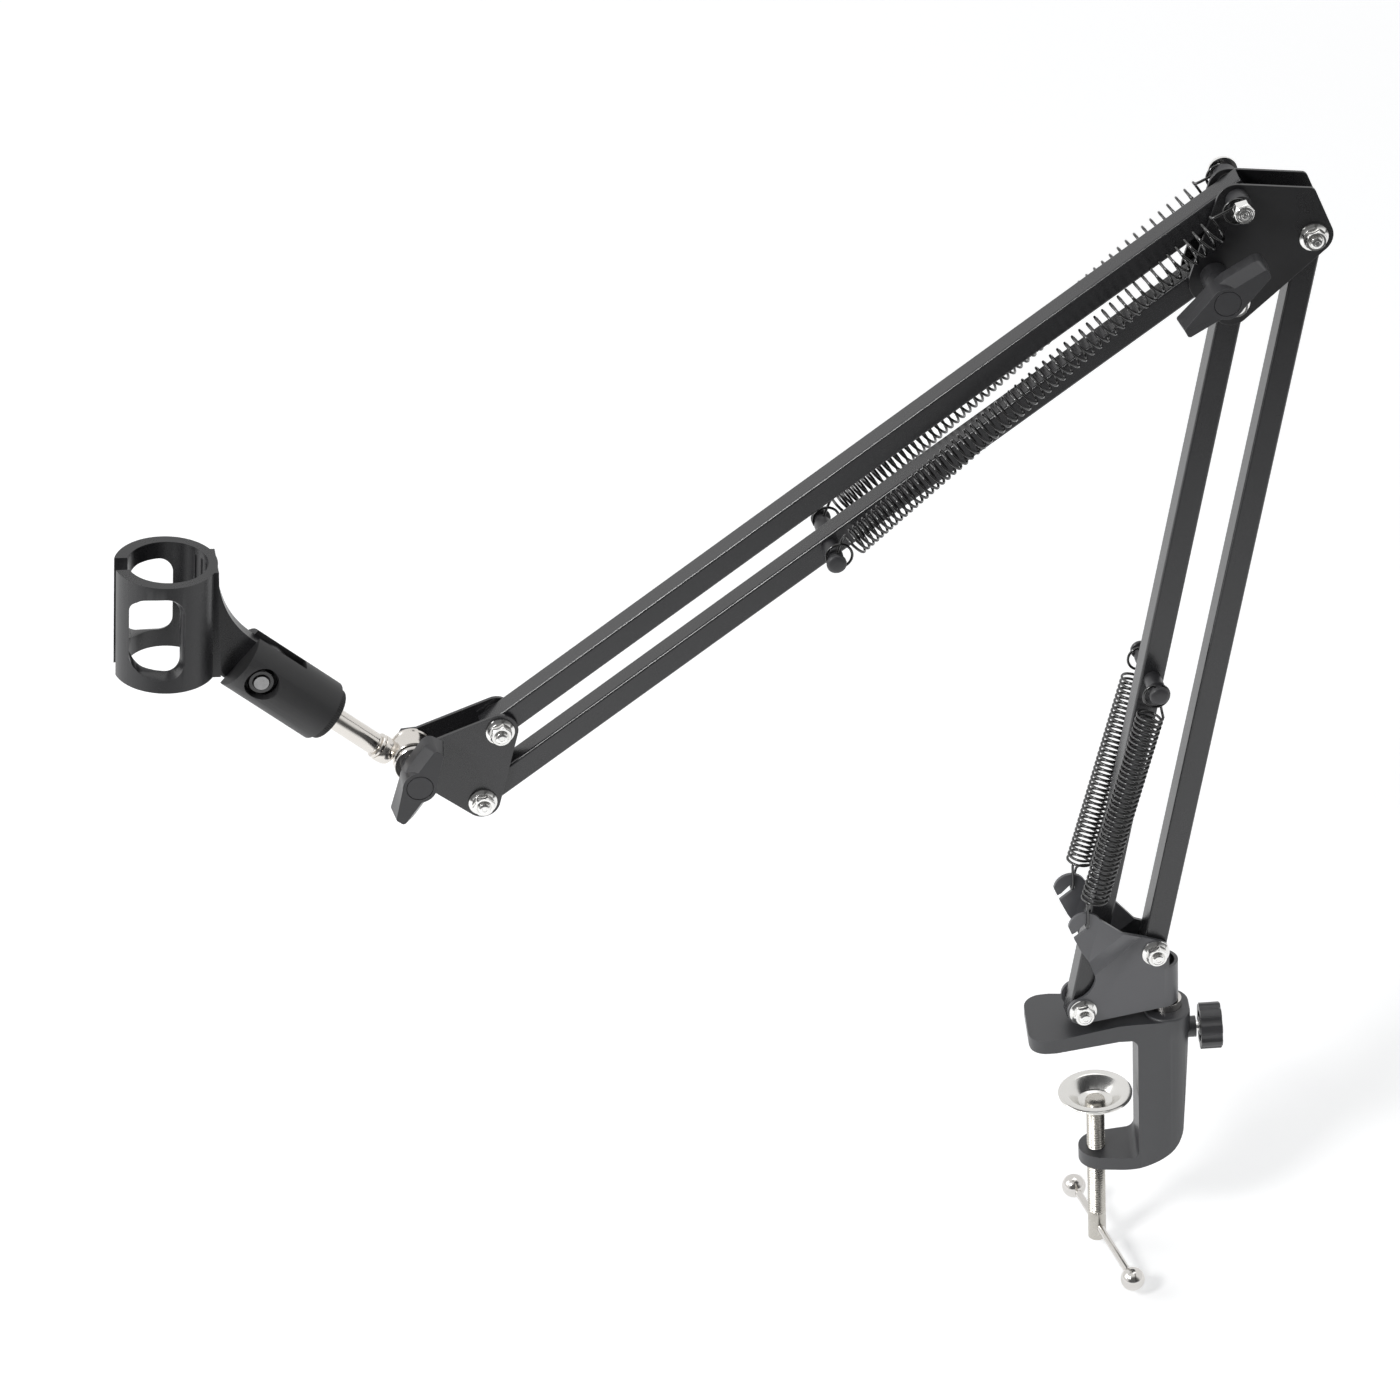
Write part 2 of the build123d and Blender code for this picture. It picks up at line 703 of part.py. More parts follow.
with BuildPart() as lower_spring_pin:
    spring_pin(lower_pin)
lower_spring_pin.part.label = "lower_spring_pin"

with BuildPart() as lower_spring_front:
    lower_spring(-spring_side)
lower_spring_front.part.label = "lower_spring_front"

with BuildPart() as lower_spring_back:
    lower_spring(spring_side)
lower_spring_back.part.label = "lower_spring_back"

# ---------------------------------------------------------------- elbow
elbow_lobes = (
    # Each corner of the plate: its pivot, its offset from that pivot, and its radius.
    (elbow_spring_bolt, (-0.8, -1.0), 7.4),
    (elbow_spring_bolt, (29.0, -1.4), 2.6),
    (elbow_rear, (0, 0), 8.0),
    (elbow_front, (-1.1, -2.3), 7.6),
    (elbow_knob_pivot, (0.1, -2.4), 10.1),
)


def elbow_plate(y_low):
    """A flat plate whose outline is drawn tight round its lobes."""
    with BuildSketch(across(y_low + sheet)) as outline:
        for pivot, offset, radius in elbow_lobes:
            with Locations(shifted(pivot, offset)):
                Circle(radius)
        make_hull()
        for place in (elbow_spring_bolt, elbow_rear, elbow_front):
            with Locations(place):
                Circle(bolt_radius, mode=Mode.SUBTRACT)
        with Locations(elbow_knob_pivot):
            Circle(knob_bolt_radius, mode=Mode.SUBTRACT)
    extrude(outline.sketch, amount=sheet)


with BuildPart() as elbow_plate_front:
    elbow_plate(-plate_outer)
elbow_plate_front.part.label = "elbow_plate_front"

with BuildPart() as elbow_plate_back:
    elbow_plate(plate_inner)
elbow_plate_back.part.label = "elbow_plate_back"

with BuildPart() as elbow_bolts:
    for pivot in (elbow_front, elbow_rear):
        through_bolt(pivot)
elbow_bolts.part.label = "elbow_bolts"

with BuildPart() as elbow_nuts:
    for pivot in (elbow_front, elbow_rear):
        flange_nut(pivot)
elbow_nuts.part.label = "elbow_nuts"

with BuildPart() as elbow_washers:
    for pivot in (elbow_front, elbow_rear, elbow_spring_bolt):
        washer_pair(pivot)
    for low in (-plate_inner + play, tube_size / 2 + play):
        rod(elbow_knob_pivot, low, low + side_washer - 2 * play, side_washer_radius, knob_clear)
elbow_washers.part.label = "elbow_washers"

with BuildPart() as spring_bolt:
    # Carries the top tube and both upper springs; a turned hexagon head on the knob side.
    head_inner = spring_bolt_reach - spring_head
    rod(elbow_spring_bolt, -head_inner, spring_bolt_reach, bolt_radius)
    hexagon(
        elbow_spring_bolt, spring_head_rise - spring_bolt_reach, -head_inner, nut_flats, turn=12
    )
    rod(elbow_spring_bolt, -spring_bolt_reach, spring_head_rise - spring_bolt_reach, spring_head_turned)
spring_bolt.part.label = "spring_bolt"

with BuildPart() as spring_bolt_nut:
    flange_face = head_inner + flange_thickness
    rod(elbow_spring_bolt, head_inner, flange_face, flange_radius, bolt_radius)
    hexagon(
        elbow_spring_bolt, flange_face, spring_bolt_reach - spring_head_rise, nut_flats, bolt_radius
    )
spring_bolt_nut.part.label = "spring_bolt_nut"

spacer_end = spring_side - wire / 2 - play
with BuildPart() as spring_spacers:
    # A black sleeve on each side that keeps the spring's loop off the plate.
    rod(elbow_spring_bolt, -spacer_end, -plate_outer, spacer_radius, bolt_radius)
    rod(elbow_spring_bolt, plate_outer, spacer_end, spacer_radius, bolt_radius)
spring_spacers.part.label = "spring_spacers"

elbow_knob_base = plate_outer + elbow_bush_length
knob_thread = knob_height - knob_roof
with BuildPart() as elbow_clamp_bolt:
    rod(elbow_knob_pivot, -elbow_knob_base - knob_thread, plate_outer, knob_bolt_radius)
    hexagon(elbow_knob_pivot, plate_outer, plate_outer + knob_bolt_head, knob_bolt_flats)
elbow_clamp_bolt.part.label = "elbow_clamp_bolt"

with BuildPart() as elbow_bush:
    rod(elbow_knob_pivot, -elbow_knob_base + play, -plate_outer, knob_hub_radius, knob_bolt_radius)
elbow_bush.part.label = "elbow_bush"


def wing_outline(plane, reach, bevel, draft):
    """Both wings as seen from the front, spread by the bevel and by the draft."""
    root_along, root_side = wing_root
    trailing = (reach - wing_tip_skew + draft, -wing_tip_right - draft)
    leading = (reach + draft, wing_tip_left + bevel + draft)
    half = [wing_heel, trailing, leading, (root_along, root_side + bevel + draft)]
    leading_round = knob_tip_round + knob_corner_growth * bevel / knob_bevel[0]
    with BuildSketch(plane) as outline:
        with BuildLine():
            Polyline(*half, *((-x, -y) for x, y in half), close=True)
        make_face()
        for side in (1, -1):
            fillet(vertices().sort_by_distance((side * trailing[0], side * trailing[1]))[0], knob_tip_round)
            fillet(vertices().sort_by_distance((side * leading[0], side * leading[1]))[0], leading_round)
    return outline.sketch


def wing_knob(place, base, reach, angle):
    """A two-winged knob whose wings are bevelled along their leading sides."""
    face = -base - knob_height
    bevel_side, bevel_down = knob_bevel
    cap_inner, cap_outer, cap_depth = knob_cap
    front = Plane(
        origin=(place[0], face, place[1]),
        x_dir=(cos(radians(angle)), 0, sin(radians(angle))),
        z_dir=(0, -1, 0),
    )
    sections = []
    for depth, bevel in ((0, 0), (bevel_down, bevel_side), (knob_wing_depth, bevel_side)):
        draft = knob_draft * depth / knob_wing_depth
        sections.append(wing_outline(front.offset(-depth), reach, bevel, draft))
    loft(sections, ruled=True)
    rod(place, face, face + knob_wing_depth, knob_boss_radius)
    rod(place, face + knob_wing_depth, -base, knob_hub_radius)
    rod(place, face, face + cap_depth, cap_outer, cap_inner, mode=Mode.SUBTRACT)
    rod(place, -base - knob_thread, -base, knob_bolt_radius, mode=Mode.SUBTRACT)


with BuildPart() as elbow_wing_knob:
    wing_knob(elbow_knob_pivot, elbow_knob_base, elbow_knob_reach, elbow_knob_angle)
elbow_wing_knob.part.label = "elbow_wing_knob"

# ---------------------------------------------------------------- upper arm
with BuildPart() as upper_top_tube:
    square_tube(tip_top, upper_angle, upper_length)
upper_top_tube.part.label = "upper_top_tube"

with BuildPart() as upper_bottom_tube:
    square_tube(tip_bottom, upper_angle, upper_length)
    rod(elbow_knob_pivot, -tube_size, tube_size, knob_clear, mode=Mode.SUBTRACT)
    rod(upper_pin, -tube_size, tube_size, spring_pin_radius, mode=Mode.SUBTRACT)
upper_bottom_tube.part.label = "upper_bottom_tube"

with BuildPart() as upper_spring_pin:
    spring_pin(upper_pin)
upper_spring_pin.part.label = "upper_spring_pin"

with BuildPart() as upper_spring_front:
    upper_spring(-spring_side)
upper_spring_front.part.label = "upper_spring_front"

with BuildPart() as upper_spring_back:
    upper_spring(spring_side)
upper_spring_back.part.label = "upper_spring_back"

# ---------------------------------------------------------------- tip


tip_lobes = ((tip_top, 7.4), (tip_bottom, 7.2), (tip_knob_pivot, 6.5))


def tip_plate(y_low):
    """A flat plate whose outline is drawn tight round its three pivots."""
    with BuildSketch(across(y_low + sheet)) as outline:
        for place, radius in tip_lobes:
            with Locations(place):
                Circle(radius)
        make_hull()
        for place, radius in (
            (tip_top, bolt_radius), (tip_bottom, bolt_radius), (tip_knob_pivot, knob_bolt_radius)
        ):
            with Locations(place):
                Circle(radius, mode=Mode.SUBTRACT)
    extrude(outline.sketch, amount=sheet)


with BuildPart() as tip_plate_front:
    tip_plate(-plate_outer)
tip_plate_front.part.label = "tip_plate_front"

with BuildPart() as tip_plate_back:
    tip_plate(plate_inner)
tip_plate_back.part.label = "tip_plate_back"

with BuildPart() as tip_bolts:
    for pivot in (tip_top, tip_bottom):
        through_bolt(pivot)
tip_bolts.part.label = "tip_bolts"

with BuildPart() as tip_nuts:
    for pivot in (tip_top, tip_bottom):
        flange_nut(pivot)
tip_nuts.part.label = "tip_nuts"

with BuildPart() as tip_washers:
    for pivot in (tip_top, tip_bottom):
        washer_pair(pivot)
tip_washers.part.label = "tip_washers"

tip_knob_base = plate_outer + tip_washer_thickness
with BuildPart() as tip_steel_washer:
    rod(tip_knob_pivot, -tip_knob_base + play, -plate_outer, tip_washer_radius, knob_bolt_radius)
tip_steel_washer.part.label = "tip_steel_washer"

with BuildPart() as tip_clamp_bolt:
    rod(tip_knob_pivot, -tip_knob_base - knob_thread, plate_outer, knob_bolt_radius)
    hexagon(tip_knob_pivot, plate_outer, plate_outer + knob_bolt_head, knob_bolt_flats)
tip_clamp_bolt.part.label = "tip_clamp_bolt"

with BuildPart() as tip_wing_knob:
    wing_knob(tip_knob_pivot, tip_knob_base, tip_knob_reach, tip_knob_angle)
tip_wing_knob.part.label = "tip_wing_knob"

# ---------------------------------------------------------------- lug, post and clip
with BuildPart() as swivel_lug:
    # A turned barrel between the tip plates with a neck for the post.
    lug_half = plate_inner - 2 * play
    rod(tip_knob_pivot, -lug_half, lug_half, lug_radius)
    with BuildSketch(along_post(2)):
        Circle(neck_radius)
    extrude(amount=post_start - 2)
    with BuildSketch(along_post(post_start - spigot_length)):
        Circle(spigot_radius)
    extrude(amount=spigot_length, mode=Mode.SUBTRACT)
    rod(tip_knob_pivot, -lug_half, lug_half, knob_clear, mode=Mode.SUBTRACT)
swivel_lug.part.label = "swivel_lug"

with BuildPart() as mic_post:
    with BuildSketch(along_post(post_start - spigot_length)):
        Circle(spigot_radius)
    extrude(amount=spigot_length + 1)
    with BuildSketch(along_post(post_start)):
        Circle(post_radius + 0.9)
    extrude(amount=1.6)
    with BuildSketch(along_post(post_start)):
        Circle(post_radius)
    extrude(amount=insert_end - post_start)
mic_post.part.label = "mic_post"

with BuildPart() as thread_adapter:
    # Knurled ring with a threaded sleeve inside the socket.
    with BuildSketch(along_post(ring_start)):
        Circle(ring_radius)
    extrude(amount=ring_thickness)
    with BuildSketch(along_post(ring_start)):
        Circle(insert_radius)
    extrude(amount=insert_end - ring_start)
    with BuildSketch(along_post(ring_start)):
        Circle(post_radius + running_gap)
    extrude(amount=insert_end - ring_start, mode=Mode.SUBTRACT)
thread_adapter.part.label = "thread_adapter"

with BuildPart() as clip_socket:
    # A moulded barrel, slotted for the clip's web, with a recess on each side for the bolt.
    socket_start = ring_start + ring_thickness
    with BuildSketch(along_post(socket_start)):
        Circle(socket_radius)
    extrude(amount=socket_end - socket_start)
    with BuildSketch(along_post(socket_start)):
        Circle(insert_radius)
    extrude(amount=insert_end - socket_start + 0.5, mode=Mode.SUBTRACT)
    with BuildSketch(along_post(clip_slot_start)):
        Rectangle(4 * socket_radius, clip_slot)
    extrude(amount=socket_end - clip_slot_start + 1, mode=Mode.SUBTRACT)
    for low in (-socket_radius - 1, nut_recess_floor):
        high = low + socket_radius + 1 - nut_recess_floor
        rod(clip_bolt_place, low, high, nut_recess_radius, mode=Mode.SUBTRACT)
    rod(clip_bolt_place, -socket_radius, socket_radius, knob_bolt_radius, mode=Mode.SUBTRACT)
clip_socket.part.label = "clip_socket"

with BuildPart() as clip_bolt:
    rod(clip_bolt_place, -nut_recess_floor - 4.2, nut_recess_floor, knob_bolt_radius)
    hexagon(clip_bolt_place, nut_recess_floor, nut_recess_floor + 4.0, 10.0)
clip_bolt.part.label = "clip_bolt"

with BuildPart() as clip_nut:
    hexagon(clip_bolt_place, -nut_recess_floor - 3.4, -nut_recess_floor, 10.0, knob_bolt_radius, turn=20)
clip_nut.part.label = "clip_nut"

half_clip = clip_height / 2
with BuildPart() as clip_holder:
    # A split, windowed barrel with a solid neck and a web that runs down to its bolt.
    with BuildSketch(clip_level(-half_clip)):
        with Locations((-clip_offset, 0)):
            Circle(clip_outer)
    extrude(amount=clip_height)
    with BuildSketch(clip_side()):
        with BuildLine():
            Polyline(
                (0, half_clip),
                (neck_top, half_clip),
                (neck_bottom, -half_clip),
                (0, -half_clip),
                close=True,
            )
        make_face()
    extrude(amount=neck_half_width, both=True)
    with BuildSketch(clip_side()):
        with BuildLine():
            Spline(
                (neck_top, half_clip),
                (clip_bolt_side - 15.3, clip_bolt_drop - 18.2),
                (clip_bolt_side - 10.9, -clip_bolt_drop + 24.5),
                (clip_bolt_side - 2.0, -clip_bolt_drop + 14.7),
                (clip_bolt_side + 6.0, -clip_bolt_drop + 9.6),
            )
            ThreePointArc(
                (clip_bolt_side + 6.0, -clip_bolt_drop + 9.6),
                (clip_bolt_side + 11.4, -clip_bolt_drop - 4.2),
                (clip_bolt_side - 2.0, -clip_bolt_drop - 12.4),
            )
            Polyline(
                (clip_bolt_side - 2.0, -clip_bolt_drop - 12.4),
                (clip_bolt_side - 8.8, -clip_bolt_drop - 8.0),
                (neck_bottom, -half_clip),
                (0, -half_clip),
                (0, half_clip),
                (neck_top, half_clip),
            )
        make_face()
    extrude(amount=web_thickness / 2, both=True)
    with BuildSketch(clip_level(-half_clip)):
        Circle(clip_inner)
        with Locations((-clip_outer, 0)):
            Rectangle(clip_outer, clip_split)
    extrude(amount=clip_height, mode=Mode.SUBTRACT)
    with BuildSketch(clip_side()):
        with Locations(window_centre):
            RectangleRounded(window_width, window_height, window_corner)
    extrude(amount=clip_outer, both=True, mode=Mode.SUBTRACT)
    for side in (clip_side(), Plane(origin=clip_side().origin, x_dir=clip_x, z_dir=(0, 1, 0))):
        facing = side.z_dir.Y * -1
        with BuildSketch(side.offset(clip_inner)):
            with Locations((window_centre[0], facing * window_centre[1])):
                RectangleRounded(window_width, window_height, window_corner)
        extrude(amount=clip_outer - clip_inner, taper=-window_taper, mode=Mode.SUBTRACT)
    rod(clip_bolt_place, -web_thickness, web_thickness, knob_clear, mode=Mode.SUBTRACT)
clip_holder.part.label = "clip_holder"

# ---------------------------------------------------------------- files
pieces = [
    clamp_frame, lock_screw, lock_knob, pressure_pad, clamp_screw, tommy_bar, tommy_bar_balls,
    swivel_stud, base_bracket, base_bolts, base_nuts, base_washers,
    lower_front_tube, lower_rear_tube, lower_spring_pin, lower_spring_front, lower_spring_back,
    elbow_plate_front, elbow_plate_back, elbow_bolts, elbow_nuts, elbow_washers,
    spring_bolt, spring_bolt_nut, spring_spacers, elbow_clamp_bolt, elbow_bush, elbow_wing_knob,
    upper_top_tube, upper_bottom_tube, upper_spring_pin, upper_spring_front, upper_spring_back,
    tip_plate_front, tip_plate_back, tip_bolts, tip_nuts, tip_washers,
    tip_steel_washer, tip_clamp_bolt, tip_wing_knob,
    swivel_lug, mic_post, thread_adapter, clip_socket, clip_bolt, clip_nut, clip_holder,
]
os.makedirs("parts", exist_ok=True)
for piece in pieces:
    export_step(piece.part, f"parts/{piece.part.label}.step")
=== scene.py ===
import json
import math

import bmesh
import bpy
import numpy as np
from mathutils import Matrix, Vector

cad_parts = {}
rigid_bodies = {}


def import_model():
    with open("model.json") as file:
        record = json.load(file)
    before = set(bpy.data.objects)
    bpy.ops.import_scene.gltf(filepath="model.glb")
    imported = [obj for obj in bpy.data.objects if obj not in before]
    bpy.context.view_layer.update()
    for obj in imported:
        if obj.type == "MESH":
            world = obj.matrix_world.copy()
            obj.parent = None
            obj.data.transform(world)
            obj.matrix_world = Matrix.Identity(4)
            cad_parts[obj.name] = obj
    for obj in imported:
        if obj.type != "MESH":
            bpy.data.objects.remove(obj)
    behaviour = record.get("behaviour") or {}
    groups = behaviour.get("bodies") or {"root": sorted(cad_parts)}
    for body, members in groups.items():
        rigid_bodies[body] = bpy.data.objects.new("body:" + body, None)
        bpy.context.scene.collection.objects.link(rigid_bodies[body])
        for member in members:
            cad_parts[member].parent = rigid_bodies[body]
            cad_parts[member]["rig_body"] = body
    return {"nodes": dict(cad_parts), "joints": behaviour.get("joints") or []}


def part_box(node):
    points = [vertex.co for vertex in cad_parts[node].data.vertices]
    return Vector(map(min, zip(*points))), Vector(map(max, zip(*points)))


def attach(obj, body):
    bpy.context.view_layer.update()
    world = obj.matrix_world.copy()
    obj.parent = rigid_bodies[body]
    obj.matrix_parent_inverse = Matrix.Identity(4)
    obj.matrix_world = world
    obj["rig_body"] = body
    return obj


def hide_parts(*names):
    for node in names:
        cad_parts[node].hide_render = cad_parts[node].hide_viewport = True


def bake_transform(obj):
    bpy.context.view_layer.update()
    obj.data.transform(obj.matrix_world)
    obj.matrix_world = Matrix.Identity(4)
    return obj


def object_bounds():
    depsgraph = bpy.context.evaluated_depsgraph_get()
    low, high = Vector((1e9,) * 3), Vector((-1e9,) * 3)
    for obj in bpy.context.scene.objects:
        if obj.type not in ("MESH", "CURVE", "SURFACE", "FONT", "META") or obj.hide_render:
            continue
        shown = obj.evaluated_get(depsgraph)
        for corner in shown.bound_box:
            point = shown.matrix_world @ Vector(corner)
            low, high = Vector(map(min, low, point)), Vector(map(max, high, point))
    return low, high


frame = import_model()
cad_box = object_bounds()


# ------------------------------------------------------------------ desk clamp
# One iron casting: two jaws and a column with the swivel boss on top. Its outer edges are rounded
# by the mould, and it is baked in black powder coat after casting.
MM = 0.001


class Field:
    """A number or colour socket of one material, with the arithmetic that the finishes use."""

    def __init__(self, tree, socket):
        self.tree = tree
        self.socket = socket

    @classmethod
    def of(cls, tree, kind, settings, values, output=0):
        """A node of a kind: its settings first, then a value or a link for each of its sockets."""
        made = tree.nodes.new(kind)
        for name, value in settings.items():
            setattr(made, name, value)
        for name, value in values.items():
            if isinstance(value, Field):
                tree.links.new(value.socket, made.inputs[name])
            else:
                made.inputs[name].default_value = value
        return cls(tree, made.outputs[output])

    def sum(self, operation, other):
        return Field.of(self.tree, "ShaderNodeMath", {"operation": operation}, {0: self, 1: other})

    def __add__(self, other):
        return self.sum("ADD", other)

    def __sub__(self, other):
        return self.sum("SUBTRACT", other)

    def __mul__(self, other):
        return self.sum("MULTIPLY", other)

    def __rsub__(self, other):
        return (self * -1.0) + other

    __radd__ = __add__
    __rmul__ = __mul__

    def between(self, low, high):
        """0 below low, 1 above high, and a smooth rise in between."""
        return Field.of(self.tree, "ShaderNodeMapRange", {"interpolation_type": "SMOOTHSTEP"},
                        {"Value": self, "From Min": low, "From Max": high})

    def noise(self, scale, detail=2.0, roughness=0.5):
        """Smooth noise over this position, from 0 to 1."""
        return Field.of(self.tree, "ShaderNodeTexNoise", {"noise_dimensions": "3D"},
                        {"Vector": self, "Scale": scale, "Detail": detail, "Roughness": roughness})

    def part(self, letter):
        """One coordinate of this position."""
        return Field.of(self.tree, "ShaderNodeSeparateXYZ", {}, {0: self}, letter)

    def colours(self, first, second):
        """The first colour where this is 0 and the second where it is 1."""
        pair = {place: colour if isinstance(colour, Field) else (*colour, 1.0)
                for place, colour in ((6, first), (7, second))}
        return Field.of(self.tree, "ShaderNodeMix", {"data_type": "RGBA"}, {0: self, **pair}, 2)


class Finish:
    """One material: its shader, and the place on the piece that its patterns read."""

    def __init__(self, name):
        self.material = bpy.data.materials.new(name)
        self.material.use_nodes = True
        self.tree = self.material.node_tree
        self.shader = self.tree.nodes["Principled BSDF"]
        self.place = Field.of(self.tree, "ShaderNodeTexCoord", {}, {}, "Object")

    def set(self, **values):
        """A value or a link for each socket of the shader; underscores stand for spaces."""
        for name, value in values.items():
            socket = self.shader.inputs[name.replace("_", " ")]
            if isinstance(value, Field):
                self.tree.links.new(value.socket, socket)
            elif isinstance(value, tuple):
                socket.default_value = (*value, 1.0)
            else:
                socket.default_value = value

    def relief(self, height, depth, strength):
        """Bump from a height field, its depth in metres."""
        self.set(Normal=Field.of(self.tree, "ShaderNodeBump", {},
                                 {"Height": height, "Distance": depth, "Strength": strength}))


def powder_coat(name, dark, light, roughness):
    """Baked powder: a slow drift in tone, a fine pebble, and rougher specks where it lay thick."""
    coat = Finish(name)
    drift = coat.place.noise(35.0, 3.0)
    pebble = coat.place.noise(2600.0, 2.0)
    speck = coat.place.noise(5200.0, 1.0).between(0.55, 0.75)
    coat.set(
        Base_Color=(drift * 0.7 + pebble * 0.3).colours(dark, light),
        Roughness=drift * 0.08 + speck * 0.10 + roughness,
        Specular_IOR_Level=0.7,
    )
    coat.relief(pebble + drift * 0.4, 0.03 * MM, 0.2)
    return coat.material


merge_gap, sliver_length = 0.002 * MM, 0.001 * MM
level_angle = math.radians(0.4)


def cleaned(mesh, sharp, flat=False):
    """Doubles merged, slivers dissolved and normals turned outwards; edges past an angle are sharp,
    and flat joins the triangles of each level face."""
    work = bmesh.new()
    work.from_mesh(mesh)
    bmesh.ops.remove_doubles(work, verts=work.verts, dist=merge_gap)
    bmesh.ops.dissolve_degenerate(work, edges=work.edges, dist=sliver_length)
    if flat:
        bmesh.ops.dissolve_limit(work, angle_limit=level_angle,
                                 verts=work.verts, edges=work.edges)
    bmesh.ops.recalc_face_normals(work, faces=work.faces)
    work.to_mesh(mesh)
    work.free()
    mesh.polygons.foreach_set("use_smooth", np.ones(len(mesh.polygons), bool))
    mesh.set_sharp_from_angle(angle=math.radians(sharp))
    mesh.update()


def eased(node, material, ease, segments=2, sharp=32.0):
    """A copy of a CAD solid with its edges rounded off by ease millimetres, standing for it."""
    source = frame["nodes"][node]
    mesh = source.data.copy()
    made = bpy.data.objects.new(node + "_finished", mesh)
    bpy.context.scene.collection.objects.link(made)
    mesh.materials.clear()
    mesh.materials.append(material)
    cleaned(mesh, sharp, flat=True)
    bevel = made.modifiers.new("edges", "BEVEL")
    bevel.width = ease * MM
    bevel.segments = segments
    bevel.limit_method = "ANGLE"
    bevel.angle_limit = math.radians(sharp)
    bevel.use_clamp_overlap = True
    bevel.harden_normals = True
    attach(made, source["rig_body"])
    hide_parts(node)


casting_coat = powder_coat("casting_powder_coat",
                           (0.036, 0.037, 0.040), (0.050, 0.051, 0.055), 0.34)
eased("clamp_frame", casting_coat, 0.7, 3, 40.0)


# ------------------------------------------------------------------ lock knob and swivel stud
# A lobed knob moulded on a zinc-plated screw, and the bright stud of the arm that turns in the
# clamp's boss. Tightening the knob presses the screw on the stud and holds the arm's heading.
def moulded(name, dark, light, roughness, grain, depth):
    """Moulded plastic: eroded grain of the tool with slight flow marks in its tone."""
    plastic = Finish(name)
    flow = plastic.place.noise(60.0, 4.0, 0.6)
    erosion = plastic.place.noise(grain, 3.0)
    plastic.set(
        Base_Color=(flow * 0.6 + erosion * 0.4).colours(dark, light),
        Roughness=flow * 0.08 + erosion * 0.10 + roughness,
        Specular_IOR_Level=0.5,
    )
    plastic.relief(erosion, depth, 0.4)
    return plastic.material


def plated(name, dark, light, roughness, cloud=30.0):
    """Bright plating: clouds in tone, and fine handling marks that only change its gloss."""
    plate = Finish(name)
    clouds = plate.place.noise(cloud, 3.0)
    marks = plate.place.noise(900.0, 4.0, 0.7).between(0.52, 0.72)
    plate.set(
        Base_Color=clouds.colours(dark, light),
        Roughness=clouds * 0.05 + marks * 0.07 + roughness,
        Metallic=1.0,
    )
    plate.relief(marks, 0.004 * MM, 0.15)
    return plate.material


def coated(material, *nodes):
    """CAD solids that keep their own shape and take a finish."""
    for node in nodes:
        for slot in frame["nodes"][node].material_slots:
            slot.material = material


knob_plastic = moulded("knob_plastic",
                       (0.030, 0.030, 0.032), (0.042, 0.042, 0.045), 0.27, 3800.0, 0.03 * MM)
zinc_plate = plated("zinc_plate", (0.80, 0.79, 0.77), (0.90, 0.90, 0.89), 0.12, 200.0)
bright_chrome = plated("bright_chrome", (0.60, 0.58, 0.55), (0.72, 0.70, 0.68), 0.10)
eased("lock_knob", knob_plastic, 0.5, 3)
coated(zinc_plate, "lock_screw")
coated(bright_chrome, "swivel_stud")


# ------------------------------------------------------------------ clamp screw
# An M8 screw of bright steel with its thread rolled along the shank. It runs up through the lower
# jaw, and its thin neck is riveted over inside the pressure pad. Sizes are in millimetres.
joint = {row["name"]: row for row in frame["joints"]}
upwards = (0, 0, 1)
screw_radius, neck_radius = 3.9, 3.2
thread_pitch, thread_depth, thread_rows = 1.25, 0.62, 620


def place_of(name):
    """Where a joint sits at rest, in millimetres."""
    return np.array(joint[name]["pos_m"], float) / MM


def box_of(node):
    """A CAD solid's lowest and highest corners, in millimetres."""
    return [np.array(corner, float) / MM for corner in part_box(node)]


def turned(profile, origin, axis, columns=48, waves=None):
    """A profile of (along, radius) pairs turned about an axis: each point is the origin, plus along
    on the axis, plus radius times the cosine and sine of the angle on the two ways across it. waves
    changes each radius by its angle."""
    axis = np.array(axis, float) / np.linalg.norm(axis)
    side = np.cross(axis, (0.0, 0.0, 1.0) if abs(axis[2]) < 0.9 else (1.0, 0.0, 0.0))
    side /= np.linalg.norm(side)
    other = np.cross(axis, side)
    along, radius = np.array(profile, float).T
    angle = np.linspace(0, 2 * np.pi, columns, endpoint=False)
    spread = radius[:, None] * np.ones(columns)
    if waves is not None:
        spread = waves(along[:, None], spread, angle[None, :])
    return (np.array(origin, float) + along[:, None, None] * axis
            + (spread * np.cos(angle))[:, :, None] * side
            + (spread * np.sin(angle))[:, :, None] * other)


def grid_faces(rows, columns, first):
    """The four corners of each cell of a grid whose last column joins its first."""
    row, column = np.meshgrid(np.arange(rows - 1), np.arange(columns), indexing="ij")
    after = (column + 1) % columns
    cells = np.stack([row * columns + column, row * columns + after,
                      (row + 1) * columns + after, (row + 1) * columns + column], axis=-1)
    return cells.reshape(-1, 4) + first


def piece_from(name, shells, material, body, sharp=32.0):
    """One object from closed shells in millimetres, each a grid of rings from end to end."""
    points, faces, start = [], [], 0
    for shell in shells:
        rows, columns, _ = shell.shape
        points.append(shell.reshape(-1, 3))
        faces.append(grid_faces(rows, columns, start))
        start += rows * columns
    mesh = bpy.data.meshes.new(name)
    mesh.from_pydata((np.concatenate(points) * MM).tolist(), [], np.concatenate(faces).tolist())
    made = bpy.data.objects.new(name, mesh)
    bpy.context.scene.collection.objects.link(made)
    cleaned(mesh, sharp)
    mesh.materials.append(material)
    if body:
        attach(made, body)
    return made


